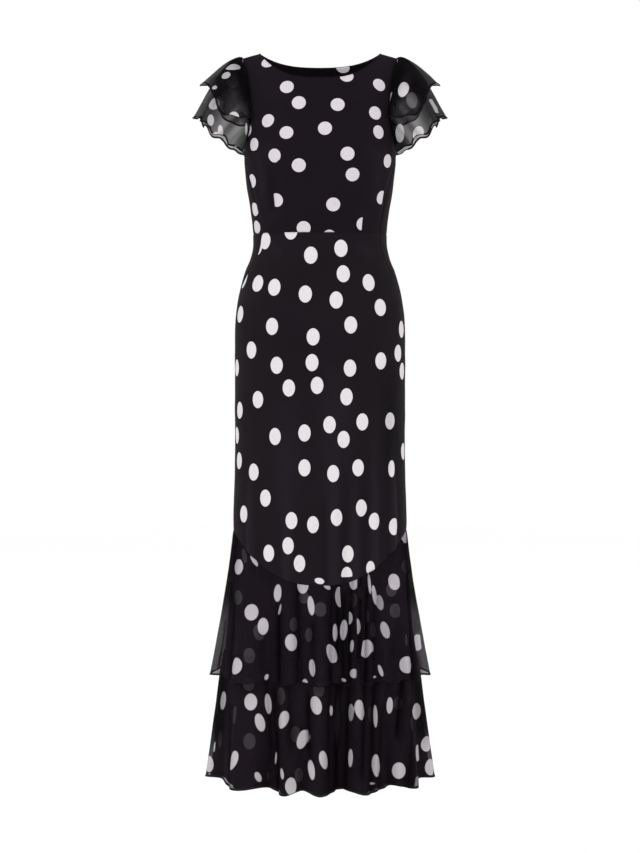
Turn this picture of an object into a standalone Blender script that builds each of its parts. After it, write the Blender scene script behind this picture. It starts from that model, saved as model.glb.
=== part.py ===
"""A hollow, worn-form dress: fitted bodice, straight skirt, two gathered tiers, double flutter sleeves.

Metres, +Z up. The front faces -Y and the wearer's left is +X. The origin is midway between the
neck points, where the shoulders carry the dress. Every panel is a wall inside one smooth surface,
which is read by an angle, 0 at the centre front and 90 degrees at the wearer's left, and a height.
"""

import math
from collections import namedtuple

import bmesh
import bpy
import numpy as np
from mathutils import Matrix, Vector

COLLECTION = "dress"
CUTTERS = "cutters"

# Cloth walls and the gap that is left where two pieces are sewn together.
BODY_CLOTH = 0.0016
RUFFLE_CLOTH = 0.0012
SEAM_GAP = 0.0003

# Heights of the seams and hems, below the neck points.
WAIST = -0.3310
UNDERARM = -0.1860
FRONT_NECK = -0.0507
BACK_NECK = -0.0200
TIER_SEAM_SIDE = -0.8760
TIER_SEAM_CENTRE = -0.9700
UPPER_TIER_HEM = -1.1440
LOWER_TIER_TOP = -1.1000
LOWER_HEM_SIDE = -1.3260
LOWER_HEM_CENTRE = -1.3400
LOWER_HEM_DIP = 0.35
UNDERSKIRT_TUCK = 0.0060
UNDERSKIRT_HEM_RISE = 0.0035

# The shoulder seam slopes down from the neck point to the shoulder point.
NECK_POINT_X = 0.1110
SHOULDER_POINT_X = 0.1415
SHOULDER_SLOPE = 0.36
SHOULDER_ROLL = 0.0900
NECK_SQUARENESS = 3.0
TIER_SEAM_SQUARENESS = 2.4

# The bust shaping that the waist darts give.
BUST_HEIGHT = -0.1880
BUST_ACROSS = 0.0700
BUST_WIDTH = 0.0440
BUST_TALL = 0.0560
BUST_DEPTH = 0.0150

# How far each layer stands out from the straight skirt at its hem, and how it curves there.
UPPER_TIER_FLARE = 0.0370
UPPER_TIER_CURVE = 1.2
UNDERSKIRT_FLARE = 0.0215
UNDERSKIRT_CURVE = 1.1
LOWER_TIER_FLARE = 0.0200
LOWER_TIER_CURVE = 1.1
UNDERSKIRT_CLEARANCE = 0.0008
UNDERSKIRT_FULLNESS = 0.8

# Mesh counts. Columns are for one half of the dress, front or back.
COLUMNS = 50
SKIRT_ROWS = 8
SKIRT_ROW_CROWDING = 1.4
TIER_ROWS = 5
UNDERSKIRT_ROWS = (4, 5)
BODICE_COLUMNS = 10
BODICE_ROWS = 12
NECK_COLUMNS = 7
SIDE_SEAM_ROWS = 5
SLEEVE_COLUMNS = 28
SLEEVE_ROWS = 4
FRILL_COLUMNS = 22
FRILL_ROWS = 3

# Level sections of the worn form. Squareness is the power of the oval.
Section = namedtuple("Section", "height half_width front back squareness")
SECTIONS = [
    Section(0.000, 0.1435, 0.052, 0.052, 2.6),
    Section(-0.051, 0.1435, 0.072, 0.077, 2.6),
    Section(-0.100, 0.1428, 0.088, 0.094, 2.6),
    Section(-0.186, 0.1400, 0.104, 0.097, 2.5),
    Section(-0.245, 0.1350, 0.102, 0.092, 2.4),
    Section(-0.290, 0.1277, 0.096, 0.086, 2.3),
    Section(-0.334, 0.1232, 0.092, 0.082, 2.2),
    Section(-0.356, 0.1238, 0.093, 0.086, 2.2),
    Section(-0.378, 0.1290, 0.095, 0.093, 2.2),
    Section(-0.400, 0.1380, 0.098, 0.101, 2.25),
    Section(-0.434, 0.1480, 0.102, 0.111, 2.3),
    Section(-0.490, 0.1563, 0.106, 0.120, 2.35),
    Section(-0.560, 0.1573, 0.107, 0.121, 2.35),
    Section(-0.720, 0.1573, 0.107, 0.118, 2.35),
    Section(-0.876, 0.1605, 0.108, 0.115, 2.3),
    Section(-1.350, 0.1605, 0.108, 0.115, 2.3),
]

# The side seam's place, in degrees from the centre front.
SideSeam = namedtuple("SideSeam", "height angle")
SIDE_SEAM = [
    SideSeam(-0.186, 90.0),
    SideSeam(-0.210, 78.0),
    SideSeam(-0.233, 70.0),
    SideSeam(-0.278, 64.0),
    SideSeam(-0.331, 61.0),
    SideSeam(-0.380, 66.0),
    SideSeam(-0.440, 82.0),
    SideSeam(-0.480, 90.0),
    SideSeam(-1.350, 90.0),
]

# Half the width between the armholes, on the front and on the back.
Armhole = namedtuple("Armhole", "height front back")
ARMHOLE = [
    Armhole(-0.0110, 0.1415, 0.1415),
    Armhole(-0.0280, 0.1365, 0.1385),
    Armhole(-0.0454, 0.1316, 0.1350),
    Armhole(-0.0856, 0.1270, 0.1315),
    Armhole(-0.1160, 0.1252, 0.1300),
    Armhole(-0.1459, 0.1305, 0.1325),
    Armhole(-0.1700, 0.1358, 0.1362),
    Armhole(-0.1860, 0.1400, 0.1400),
]

# Soft upright folds in the skirt: where each is, how wide, how deep, where it begins and is full.
Fold = namedtuple("Fold", "angle width depth top full")
SKIRT_FOLD_SWING = 1.6
SKIRT_FOLDS = [
    Fold(-52, 5.5, 0.0030, -0.70, -0.88),
    Fold(-22, 5.5, 0.0025, -0.74, -0.91),
    Fold(9, 5.0, 0.0045, -0.70, -0.91),
    Fold(23, 5.0, 0.0040, -0.72, -0.90),
    Fold(38, 5.0, 0.0040, -0.66, -0.88),
    Fold(57, 5.0, 0.0045, -0.66, -0.86),
    Fold(112, 5.5, 0.0040, -0.70, -0.87),
    Fold(141, 5.5, 0.0040, -0.72, -0.90),
    Fold(164, 5.0, 0.0035, -0.74, -0.91),
    Fold(199, 5.0, 0.0040, -0.72, -0.91),
    Fold(223, 5.5, 0.0040, -0.70, -0.89),
    Fold(250, 5.5, 0.0035, -0.68, -0.87),
]

# Crests and hollows of each tier at its hem, all the way round from the wearer's right.
Wave = namedtuple("Wave", "angle out")
UPPER_TIER_WAVES = [
    Wave(-90, 0.008), Wave(-72, -0.007), Wave(-48, 0.008), Wave(-29, -0.008),
    Wave(-20, 0.006), Wave(-11, -0.008), Wave(0, 0.008), Wave(8, -0.007),
    Wave(15, 0.007), Wave(22, -0.008), Wave(29, 0.007), Wave(36, -0.008),
    Wave(45, 0.006), Wave(54, -0.006), Wave(64, 0.008), Wave(76, -0.007),
    Wave(90, 0.008), Wave(104, -0.008), Wave(117, 0.008), Wave(130, -0.007),
    Wave(142, 0.008), Wave(153, -0.008), Wave(163, 0.007), Wave(172, -0.007),
    Wave(182, 0.008), Wave(192, -0.007), Wave(203, 0.008), Wave(214, -0.008),
    Wave(226, 0.007), Wave(238, -0.008), Wave(250, 0.006), Wave(260, -0.005),
    Wave(270, 0.008),
]
LOWER_TIER_WAVES = [
    Wave(-90, 0.012), Wave(-71, -0.009), Wave(-49, 0.012), Wave(-31, -0.012),
    Wave(-19, 0.012), Wave(-10, -0.009), Wave(0, 0.012), Wave(12, -0.012),
    Wave(26, 0.012), Wave(43, -0.012), Wave(57, 0.012), Wave(72, -0.009),
    Wave(90, 0.012), Wave(104, -0.011), Wave(118, 0.012), Wave(133, -0.012),
    Wave(148, 0.012), Wave(164, -0.012), Wave(179, 0.012), Wave(193, -0.012),
    Wave(207, 0.012), Wave(222, -0.011), Wave(237, 0.012), Wave(253, -0.010),
    Wave(270, 0.012),
]

# A flutter sleeve falls from the armhole seam to a tilted oval hem, in ripples.
SLEEVE_REACH = 156.0
SLEEVE_TIP = (0.2270, -0.1170)
SLEEVE_UNDERARM = (0.1380, -0.1900)
SLEEVE_FORE_AFT = 0.0780
SLEEVE_ROUNDING = 0.65
SLEEVE_SAG = 0.0110
SLEEVE_BULGE = 0.0150
SLEEVE_BULGE_CURVE = 0.6
SLEEVE_SEAM_LIFT = 0.0016
SLEEVE_WAVES = 7
SLEEVE_WAVE = 0.0050
SLEEVE_WAVE_CURVE = 1.5

# The shorter frill above it, made from the sleeve's own points, moved out. Its length is a share
# of the sleeve's, by the turn around the armhole in degrees from the shoulder.
FRILL_REACH = 133.0
FRILL_LIFT = 0.0115
FRILL_LIFT_CURVE = 1.5
FRILL_WAVES = 5
FRILL_WAVE = 0.0050
FRILL_END_LIFT = 0.3
FRILL_END_SQUARENESS = 6
FrillLength = namedtuple("FrillLength", "turn share")
FRILL_LENGTHS = [
    FrillLength(0, 0.62),
    FrillLength(30, 0.64),
    FrillLength(50, 0.71),
    FrillLength(75, 0.74),
    FrillLength(95, 0.66),
    FrillLength(112, 0.46),
    FrillLength(126, 0.22),
    FrillLength(133, 0.10),
]

# The concealed zip's slider at the top of the centre back, and the pull that hangs on its bridge.
ZIP_HEIGHT = -0.0300
SLIDER_WIDE, SLIDER_LONG, SLIDER_THICK = 0.0056, 0.0090, 0.0024
BRIDGE_RADIUS, BRIDGE_WIRE, BRIDGE_STEPS = 0.0019, 0.0005, 12
PULL_WIDE, PULL_LONG, PULL_THICK = 0.0050, 0.0190, 0.0010
PULL_EYE_WIDE, PULL_EYE_LONG, PULL_TIP_STEPS = 0.0024, 0.0029, 8
PIVOT_CLEARANCE = 0.0005
PIVOT_HEIGHT = SLIDER_THICK + PULL_THICK / 2 + PIVOT_CLEARANCE
SLIDER_ROUNDING = 0.0006

# What each sub-part looks like: name, colour, roughness and metallic value.
BLACK_CREPE = ("black_crepe", (0.012, 0.010, 0.012), 0.85, 0.0)
BLACK_CHIFFON = ("black_chiffon", (0.010, 0.009, 0.010), 0.75, 0.0)
BLACK_METAL = ("black_metal", (0.020, 0.020, 0.022), 0.35, 1.0)

STEP = 2e-5


def smooth(rows, column, at, key="height"):
    """The column's value at each place in `at`, on a smooth curve through the table's rows."""
    rows = sorted(rows, key=lambda row: getattr(row, key))
    xs = np.array([getattr(row, key) for row in rows], float)
    ys = np.array([getattr(row, column) for row in rows], float)
    rise = np.diff(ys) / np.diff(xs)
    slopes = np.concatenate([rise[:1], (rise[:-1] + rise[1:]) / 2, rise[-1:]])
    turns = np.concatenate([[False], rise[:-1] * rise[1:] <= 0, [False]])
    slopes[turns] = 0.0
    at = np.clip(np.asarray(at, float), xs[0], xs[-1])
    i = np.clip(np.searchsorted(xs, at) - 1, 0, len(xs) - 2)
    gap = xs[i + 1] - xs[i]
    t = (at - xs[i]) / gap
    return (
        ys[i] * (1 + 2 * t) * (1 - t) ** 2
        + ys[i + 1] * t**2 * (3 - 2 * t)
        + slopes[i] * gap * t * (1 - t) ** 2
        - slopes[i + 1] * gap * t**2 * (1 - t)
    )


def between(low, high, share):
    return low + (high - low) * share


def unit(vectors):
    return vectors / np.linalg.norm(vectors, axis=-1, keepdims=True)


def shoulder_line(x):
    """Height of the shoulder ridge at a distance x from the centre."""
    return -SHOULDER_SLOPE * (np.abs(x) - NECK_POINT_X)


def depth(angle, height):
    fore = np.cos(angle) >= 0
    return np.where(fore, smooth(SECTIONS, "front", height), smooth(SECTIONS, "back", height))


def outward(angle, height):
    """The level direction that points straight out of the form."""
    wide = smooth(SECTIONS, "half_width", height)
    return unit(
        np.stack([np.sin(angle) * depth(angle, height), -np.cos(angle) * wide, 0 * angle], -1)
    )


def skirt_relief(angle, height):
    """How far the skirt's soft folds move its cloth out."""
    degrees = np.degrees(angle)
    relief = 0 * degrees
    for fold in SKIRT_FOLDS:
        down = np.clip((fold.top - height) / (fold.top - fold.full), 0, 1)
        away = ((degrees - fold.angle + 180) % 360 - 180) / fold.width
        ridge = np.exp(-(away**2)) * np.cos(SKIRT_FOLD_SWING * away)
        relief = relief + fold.depth * np.sin(down * math.pi / 2) ** 2 * ridge
    return relief


def body(angle, height):
    """A point of the worn form, by its angle from the centre front and its height."""
    angle, height = np.broadcast_arrays(angle, height)
    fore = np.cos(angle) >= 0
    power = smooth(SECTIONS, "squareness", height)
    across = np.clip(np.abs(np.sin(angle)), 0, 1)
    fullness = (1 - across**power) ** (1 / power)
    x = smooth(SECTIONS, "half_width", height) * np.sin(angle)
    drop = np.clip((shoulder_line(x) - height) / SHOULDER_ROLL, 0, 1)
    roll = np.sqrt(1 - (1 - drop) ** 2)
    lobe = np.exp(-(((np.abs(x) - BUST_ACROSS) / BUST_WIDTH) ** 2))
    lobe = lobe * np.exp(-(((height - BUST_HEIGHT) / BUST_TALL) ** 2))
    y = np.where(fore, -1, 1) * depth(angle, height) * fullness * roll
    y = y - np.where(fore, BUST_DEPTH * lobe * fullness, 0)
    point = np.stack([x, y, height], -1)
    return point + outward(angle, height) * skirt_relief(angle, height)[..., None]


def tier_seam(angle):
    """Height of the seam that carries the upper tier: high at the sides, low at the centre."""
    return between(TIER_SEAM_CENTRE, TIER_SEAM_SIDE, np.abs(np.sin(angle)) ** TIER_SEAM_SQUARENESS)


def wave(rows, angle):
    return smooth(rows, "out", np.degrees(angle), key="angle")


def lower_hem(angle):
    """Height of the lowest hem, which dips a little where its waves stand out."""
    level = between(LOWER_HEM_CENTRE, LOWER_HEM_SIDE, np.sin(angle) ** 2)
    return level - LOWER_HEM_DIP * wave(LOWER_TIER_WAVES, angle)


def stand_out(angle, height, distance):
    return body(angle, height) + outward(angle, height) * distance[..., None]


def straight_underskirt(angle, height):
    """How far the underskirt stands out from the skirt, which keeps it clear of the upper tier."""
    seam = tier_seam(angle)
    down = np.clip((seam - height) / (seam - UPPER_TIER_HEM), 0, 1)
    start = -BODY_CLOTH - UNDERSKIRT_CLEARANCE
    return start + UNDERSKIRT_FLARE * down**UNDERSKIRT_CURVE


def lower_flare(angle, share):
    """How far the lower tier swings out, from its seam (share 0) to its hem (share 1)."""
    return (LOWER_TIER_FLARE + wave(LOWER_TIER_WAVES, angle)) * share**LOWER_TIER_CURVE


def underskirt(angle, height):
    """The underskirt's surface, which under the lower tier is waved as that tier is, less fully."""
    share = (LOWER_TIER_TOP - height) / (LOWER_TIER_TOP - lower_hem(angle))
    swing = UNDERSKIRT_FULLNESS * lower_flare(angle, np.clip(share, 0, 1))
    return stand_out(angle, height, straight_underskirt(angle, height) + swing)


def upper_tier(angle, share):
    height = between(tier_seam(angle) - SEAM_GAP / 2, UPPER_TIER_HEM, share)
    share = np.clip(share, 0, None)
    out = (UPPER_TIER_FLARE + wave(UPPER_TIER_WAVES, angle)) * share**UPPER_TIER_CURVE
    return stand_out(angle, height, out)


def lower_tier(angle, share):
    height = between(LOWER_TIER_TOP, lower_hem(angle), share)
    root = straight_underskirt(angle, height) + RUFFLE_CLOTH + SEAM_GAP
    return stand_out(angle, height, root + lower_flare(angle, np.clip(share, 0, None)))


def angle_at(x, height, side):
    """The angle at which the form's front or back is x from the centre."""
    wide = smooth(SECTIONS, "half_width", height)
    turn = np.arcsin(np.clip(x / wide, 0, 1))
    return turn if side == "front" else math.pi - turn


def bodice_edges(side):
    """Angles and heights along a half panel's waist, centre, top and outer edges."""
    centre = 0.0 if side == "front" else math.pi
    neck_low = FRONT_NECK if side == "front" else BACK_NECK
    u = np.linspace(0, 1, BODICE_COLUMNS + 1)
    v = np.linspace(0, 1, BODICE_ROWS + 1)

    share = np.linspace(0, 1, NECK_COLUMNS + 1)
    neck_height = between(neck_low, 0.0, share**NECK_SQUARENESS)
    neck = (angle_at(NECK_POINT_X * share, neck_height, side), neck_height)
    x = np.linspace(NECK_POINT_X, SHOULDER_POINT_X, BODICE_COLUMNS - NECK_COLUMNS + 1)[1:]
    shoulder = (angle_at(x, shoulder_line(x), side), shoulder_line(x))

    height = np.linspace(WAIST, UNDERARM, SIDE_SEAM_ROWS + 1)
    seam = (np.radians(smooth(SIDE_SEAM, "angle", height)), height)
    share = np.linspace(0, 1, BODICE_ROWS - SIDE_SEAM_ROWS + 1)[1:]
    height = between(UNDERARM, shoulder_line(SHOULDER_POINT_X), np.sin(share * math.pi / 2))
    armhole = (angle_at(smooth(ARMHOLE, side, height), height, side), height)

    waist = (between(centre, seam[0][0], u), WAIST + 0 * u)
    middle = (centre + 0 * v, between(WAIST, neck_low, v))
    top = tuple(np.concatenate(pair) for pair in zip(neck, shoulder))
    outer = tuple(np.concatenate(pair) for pair in zip(seam, armhole))
    return zip(waist, middle, top, outer)


def bodice_grid(side):
    """Angles and heights of half a bodice panel, blended between its four edges."""
    u = np.linspace(0, 1, BODICE_COLUMNS + 1)[None, :]
    v = np.linspace(0, 1, BODICE_ROWS + 1)[:, None]
    grid = []
    for waist, middle, top, outer in bodice_edges(side):
        ruled = (1 - v) * waist[None, :] + v * top[None, :]
        ruled = ruled + (1 - u) * middle[:, None] + u * outer[:, None]
        lower = (1 - u) * waist[0] + u * waist[-1]
        upper = (1 - u) * top[0] + u * top[-1]
        grid.append(ruled - (1 - v) * lower - v * upper)
    return grid


def skirt_grid(start, end, columns):
    """Angles and heights of a skirt panel, from one of the lines in `sides` to another."""
    v = (np.arange(SKIRT_ROWS + 1) / SKIRT_ROWS)[:, None] ** SKIRT_ROW_CROWDING
    seam = np.radians(smooth(SIDE_SEAM, "angle", between(WAIST, TIER_SEAM_SIDE, v)))
    sides = {"right": -seam, "left": seam, "back": math.pi + 0 * seam, "past": 2 * math.pi - seam}
    u = np.linspace(0, 1, columns + 1)[None, :]
    angle = between(sides[start], sides[end], u)
    return angle, between(WAIST, tier_seam(angle), v)


def half_round(half):
    """Column angles of the dress's front or back half."""
    start = -math.pi / 2 if half == "front" else math.pi / 2
    return start + math.pi * np.linspace(0, 1, COLUMNS + 1)[None, :]


def armhole_point(turn, lift):
    """A point over the armhole's edge. The turn is 0 at the shoulder and positive to the front."""
    share = np.sin((1 - np.abs(turn) / math.pi) * math.pi / 2)
    height = between(UNDERARM, shoulder_line(SHOULDER_POINT_X), share)
    front = angle_at(smooth(ARMHOLE, "front", height), height, "front")
    back = angle_at(smooth(ARMHOLE, "back", height), height, "back")
    angle = np.where(turn >= 0, front, back)
    around = body(angle + STEP, height) - body(angle - STEP, height)
    up = body(angle, height + STEP) - body(angle, height - STEP)
    return body(angle, height) + unit(np.cross(around, up)) * lift


def sleeve_root(turn):
    return armhole_point(turn, SLEEVE_SEAM_LIFT)


def sleeve_hem(turn):
    tip = np.array([SLEEVE_TIP[0], 0, SLEEVE_TIP[1]])
    underarm = np.array([SLEEVE_UNDERARM[0], 0, SLEEVE_UNDERARM[1]])
    middle = (tip + underarm) / 2
    fore = np.array([0, -SLEEVE_FORE_AFT, 0])
    swing = np.sign(turn) * np.abs(np.sin(turn)) ** SLEEVE_ROUNDING
    sag = np.array([0, 0, -SLEEVE_SAG]) * np.sin(turn)[..., None] ** 2
    return middle + (tip - middle) * np.cos(turn)[..., None] + fore * swing[..., None] + sag


def sleeve_out(turn):
    """The direction in which the sleeve's cloth lifts off the straight line to its hem."""
    fall = sleeve_hem(turn) - sleeve_root(turn)
    round_hem = sleeve_hem(turn + STEP) - sleeve_hem(turn - STEP)
    return unit(np.cross(round_hem, fall))


def sleeve(turn, share):
    """A point of the left sleeve, from the armhole seam (share 0) to the hem (share 1)."""
    turn, share = np.broadcast_arrays(turn, share)
    out = sleeve_out(turn)
    line = between(sleeve_root(turn), sleeve_hem(turn), share[..., None])
    fade = np.cos(np.clip(turn, -math.pi, math.pi) / 2)
    down = np.clip(share, 0, 1)
    lift = SLEEVE_BULGE * np.sin(math.pi * down**SLEEVE_BULGE_CURVE) * fade
    ripple = SLEEVE_WAVE * np.cos(turn * SLEEVE_WAVES) * down**SLEEVE_WAVE_CURVE * fade
    return line + out * (lift + ripple)[..., None]


def frill(turn, share):
    """A point of the shorter frill, which is the sleeve's points moved out."""
    turn, share = np.broadcast_arrays(turn, share)
    degrees = np.abs(np.degrees(turn))
    length = smooth(FRILL_LENGTHS, "share", degrees, key="turn")
    inside = 1 - np.clip(degrees / FRILL_REACH, 0, 1) ** FRILL_END_SQUARENESS
    ripple = FRILL_WAVE * (1 + np.cos(turn * FRILL_WAVES)) / 2
    swing = (FRILL_LIFT + ripple) * np.clip(share, 0, 1) ** FRILL_LIFT_CURVE
    lift = RUFFLE_CLOTH + SEAM_GAP + swing * between(FRILL_END_LIFT, 1.0, inside)
    return sleeve(turn, share * length) + sleeve_out(turn) * lift[..., None]


def add_object(name, mesh, finish):
    data = bpy.data.meshes.new(name)
    mesh.to_mesh(data)
    mesh.free()
    data.materials.append(material(*finish))
    data.shade_smooth()
    data.set_sharp_from_angle(angle=math.radians(40))
    made = bpy.data.objects.new(name, data)
    bpy.data.collections[COLLECTION].objects.link(made)
    return made


def material(name, colour, roughness, metallic):
    made = bpy.data.materials.get(name)
    if made is None:
        made = bpy.data.materials.new(name)
        made.use_nodes = True
        shader = made.node_tree.nodes["Principled BSDF"]
        shader.inputs["Base Color"].default_value = (*colour, 1)
        shader.inputs["Roughness"].default_value = roughness
        shader.inputs["Metallic"].default_value = metallic
    return made


def pull_back(grid, distance):
    """Moves the grid's four edges in towards the panel, which opens half of each seam's gap."""
    edges = [
        (grid[0], grid[1]),
        (grid[-1], grid[-2]),
        (grid[:, 0], grid[:, 1]),
        (grid[:, -1], grid[:, -2]),
    ]
    for edge, inside in edges:
        edge += unit(inside - edge) * distance


def wall(name, surface, u, v, thickness, finish, mirrored=False):
    """A closed wall: the surface's points at (u, v), and the same points moved in."""
    u, v = np.broadcast_arrays(u, v)
    outer = surface(u, v)
    along = surface(u + STEP, v) - surface(u - STEP, v)
    down = surface(u, v + STEP) - surface(u, v - STEP)
    inner = outer - unit(np.cross(along, down)) * thickness
    for skin in (outer, inner):
        pull_back(skin, SEAM_GAP / 2)
        if mirrored:
            skin[..., 0] *= -1
    return closed_panel(name, outer, inner, finish)


def closed_panel(name, outer, inner, finish):
    """Joins two skins with a rim all round, which is a loft that Solidify's even wall can't give."""
    last_row, last_column = outer.shape[0] - 1, outer.shape[1] - 1
    mesh = bmesh.new()
    skins = [[[mesh.verts.new(point) for point in row] for row in grid] for grid in (outer, inner)]
    for skin in skins:
        for near, far in zip(skin, skin[1:]):
            for j in range(last_column):
                mesh.faces.new((near[j], near[j + 1], far[j + 1], far[j]))
    border = [(0, j) for j in range(last_column)]
    border += [(i, last_column) for i in range(last_row)]
    border += [(last_row, j) for j in range(last_column, 0, -1)]
    border += [(i, 0) for i in range(last_row, 0, -1)]
    for (i, j), (k, m) in zip(border, border[1:] + border[:1]):
        mesh.faces.new((skins[0][i][j], skins[0][k][m], skins[1][k][m], skins[1][i][j]))
    bmesh.ops.recalc_face_normals(mesh, faces=mesh.faces)
    return add_object(name, mesh, finish)


def make_bodice():
    """One front panel, and two back panels that the centre-back zip joins."""
    angle, height = bodice_grid("front")
    angle = np.concatenate([-angle[:, :0:-1], angle], axis=1)
    height = np.concatenate([height[:, :0:-1], height], axis=1)
    wall("bodice_front", body, angle, height, BODY_CLOTH, BLACK_CREPE)
    angle, height = bodice_grid("back")
    for name, mirrored in (("bodice_back_left", False), ("bodice_back_right", True)):
        wall(name, body, angle, height, BODY_CLOTH, BLACK_CREPE, mirrored)


def make_skirt():
    for name, start, end, columns in (
        ("skirt_front", "right", "left", COLUMNS),
        ("skirt_back_left", "left", "back", COLUMNS // 2),
        ("skirt_back_right", "back", "past", COLUMNS // 2),
    ):
        wall(name, body, *skirt_grid(start, end, columns), BODY_CLOTH, BLACK_CREPE)


def make_underskirt():
    """The plain layer inside the tiers, sewn in at the tier seam, which carries the lower tier."""
    upper, lower = UNDERSKIRT_ROWS
    for half in ("front", "back"):
        angle = half_round(half)
        top = np.linspace(0, 1, upper + 1)[:, None]
        bottom = np.linspace(0, 1, lower + 1)[1:, None]
        height = np.concatenate(
            [
                between(tier_seam(angle) + UNDERSKIRT_TUCK, LOWER_TIER_TOP, top),
                between(LOWER_TIER_TOP, lower_hem(angle) + UNDERSKIRT_HEM_RISE, bottom),
            ]
        )
        wall("underskirt_" + half, underskirt, angle, height, BODY_CLOTH, BLACK_CREPE)


def make_tiers():
    share = np.linspace(0, 1, TIER_ROWS + 1)[:, None]
    for name, surface in (("upper_tier", upper_tier), ("lower_tier", lower_tier)):
        for half in ("front", "back"):
            wall(f"{name}_{half}", surface, half_round(half), share, -RUFFLE_CLOTH, BLACK_CHIFFON)


def make_sleeves():
    """Each sleeve is two frills in one armhole seam. The right pair mirrors the left."""
    for name, surface, reach, columns, rows in (
        ("sleeve", sleeve, SLEEVE_REACH, SLEEVE_COLUMNS, SLEEVE_ROWS),
        ("sleeve_frill", frill, FRILL_REACH, FRILL_COLUMNS, FRILL_ROWS),
    ):
        turn = np.radians(np.linspace(-reach, reach, columns + 1))[None, :]
        share = np.linspace(0, 1, rows + 1)[:, None]
        for side, mirrored in (("left", False), ("right", True)):
            wall(f"{name}_{side}", surface, turn, share, RUFFLE_CLOTH, BLACK_CHIFFON, mirrored)


def zip_frame():
    """The slider's place on the centre-back seam: X across, Y up the seam, Z out of the cloth."""
    at = np.array([math.pi])
    here = body(at, np.array([ZIP_HEIGHT]))[0]
    above = body(at, np.array([ZIP_HEIGHT + STEP]))[0]
    up = Vector(above - here).normalized()
    across = Vector((-1, 0, 0))
    out = across.cross(up)
    frame = Matrix((across, up, out)).transposed().to_4x4()
    frame.translation = Vector(here) + out * SEAM_GAP
    return frame


def block(wide, long, thick, centre):
    """A rectangular block as a bmesh, about its centre."""
    mesh = bmesh.new()
    bmesh.ops.create_cube(mesh, size=1.0)
    bmesh.ops.scale(mesh, vec=(wide, long, thick), verts=mesh.verts)
    bmesh.ops.translate(mesh, vec=centre, verts=mesh.verts)
    return mesh


def add_path(curve, points, cyclic):
    path = curve.splines.new("POLY")
    path.points.add(len(points) - 1)
    path.use_cyclic_u = cyclic
    for spot, point in zip(path.points, points):
        spot.co = (*point, 1)


def solid_from(curve):
    """The closed mesh that a curve makes with its bevel or its thickness."""
    holder = bpy.data.objects.new("path", curve)
    bpy.data.collections[COLLECTION].objects.link(holder)
    evaluated = holder.evaluated_get(bpy.context.evaluated_depsgraph_get())
    mesh = bmesh.new()
    mesh.from_mesh(bpy.data.meshes.new_from_object(evaluated))
    bmesh.ops.remove_doubles(mesh, verts=mesh.verts, dist=1e-6)
    bpy.data.objects.remove(holder)
    return mesh


def bridge_path():
    """The bridge's wire: out of the slider, round in half a turn and back in."""
    foot = SLIDER_THICK / 2
    turns = [math.pi * i / BRIDGE_STEPS for i in range(BRIDGE_STEPS + 1)]
    arc = [(0, BRIDGE_RADIUS * math.cos(t), PIVOT_HEIGHT + BRIDGE_RADIUS * math.sin(t)) for t in turns]
    return [(0, BRIDGE_RADIUS, foot), *arc, (0, -BRIDGE_RADIUS, foot)]


def make_zip_slider(frame):
    """The slider, with a bridge over it that the pull's bar turns under."""
    slider = add_object(
        "zip_slider",
        block(SLIDER_WIDE, SLIDER_LONG, SLIDER_THICK, (0, 0, SLIDER_THICK / 2)),
        BLACK_METAL,
    )
    slider.matrix_world = frame
    bevel = slider.modifiers.new("rounded", "BEVEL")
    bevel.width = SLIDER_ROUNDING
    bevel.segments = 2
    curve = bpy.data.curves.new("bridge_path", "CURVE")
    curve.dimensions = "3D"
    curve.bevel_depth = BRIDGE_WIRE
    curve.bevel_resolution = 2
    curve.use_fill_caps = True
    add_path(curve, bridge_path(), cyclic=False)
    bridge = add_object("bridge_cutter", solid_from(curve), BLACK_METAL)
    bpy.data.collections[COLLECTION].objects.unlink(bridge)
    bpy.data.collections[CUTTERS].objects.link(bridge)
    bridge.matrix_world = frame
    bridge.hide_render = True
    bridge.display_type = "WIRE"
    union = slider.modifiers.new("bridge", "BOOLEAN")
    union.operation = "UNION"
    union.object = bridge


def make_zip_pull(frame):
    """The pull's origin is on its bar's axis, and it lies along the seam below the slider."""
    half, top = PULL_WIDE / 2, PULL_THICK / 2
    shaft = PULL_LONG - half
    turns = [math.pi * i / PULL_TIP_STEPS for i in range(PULL_TIP_STEPS + 1)]
    tip = [(-half * math.cos(t), -shaft - half * math.sin(t), 0) for t in turns]
    eye_half, eye_end = PULL_EYE_WIDE / 2, -top - PULL_EYE_LONG
    eye = [(-eye_half, -top, 0), (eye_half, -top, 0), (eye_half, eye_end, 0), (-eye_half, eye_end, 0)]
    curve = bpy.data.curves.new("pull_outline", "CURVE")
    curve.dimensions = "2D"
    curve.fill_mode = "BOTH"
    curve.extrude = PULL_THICK / 2
    add_path(curve, [(-half, top, 0), *tip, (half, top, 0)], cyclic=True)
    add_path(curve, eye, cyclic=True)
    pull = add_object("zip_pull", solid_from(curve), BLACK_METAL)
    pull.matrix_world = frame @ Matrix.Translation((0, 0, PIVOT_HEIGHT))


def main():
    for old in list(bpy.data.objects):
        bpy.data.objects.remove(old)
    for name in (COLLECTION, CUTTERS):
        bpy.context.scene.collection.children.link(bpy.data.collections.new(name))
    make_bodice()
    make_skirt()
    make_underskirt()
    make_tiers()
    make_sleeves()
    frame = zip_frame()
    make_zip_slider(frame)
    make_zip_pull(frame)


main()
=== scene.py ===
"""A black dotted dress on an invisible wearer, in fine cloth over the frame's solids.

Metres, +Z up, the front faces -Y. Every panel is read by an angle, 0 at the centre front and 90
degrees at the wearer's left, and a height below the shoulders.
"""

import math
from collections import namedtuple

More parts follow.
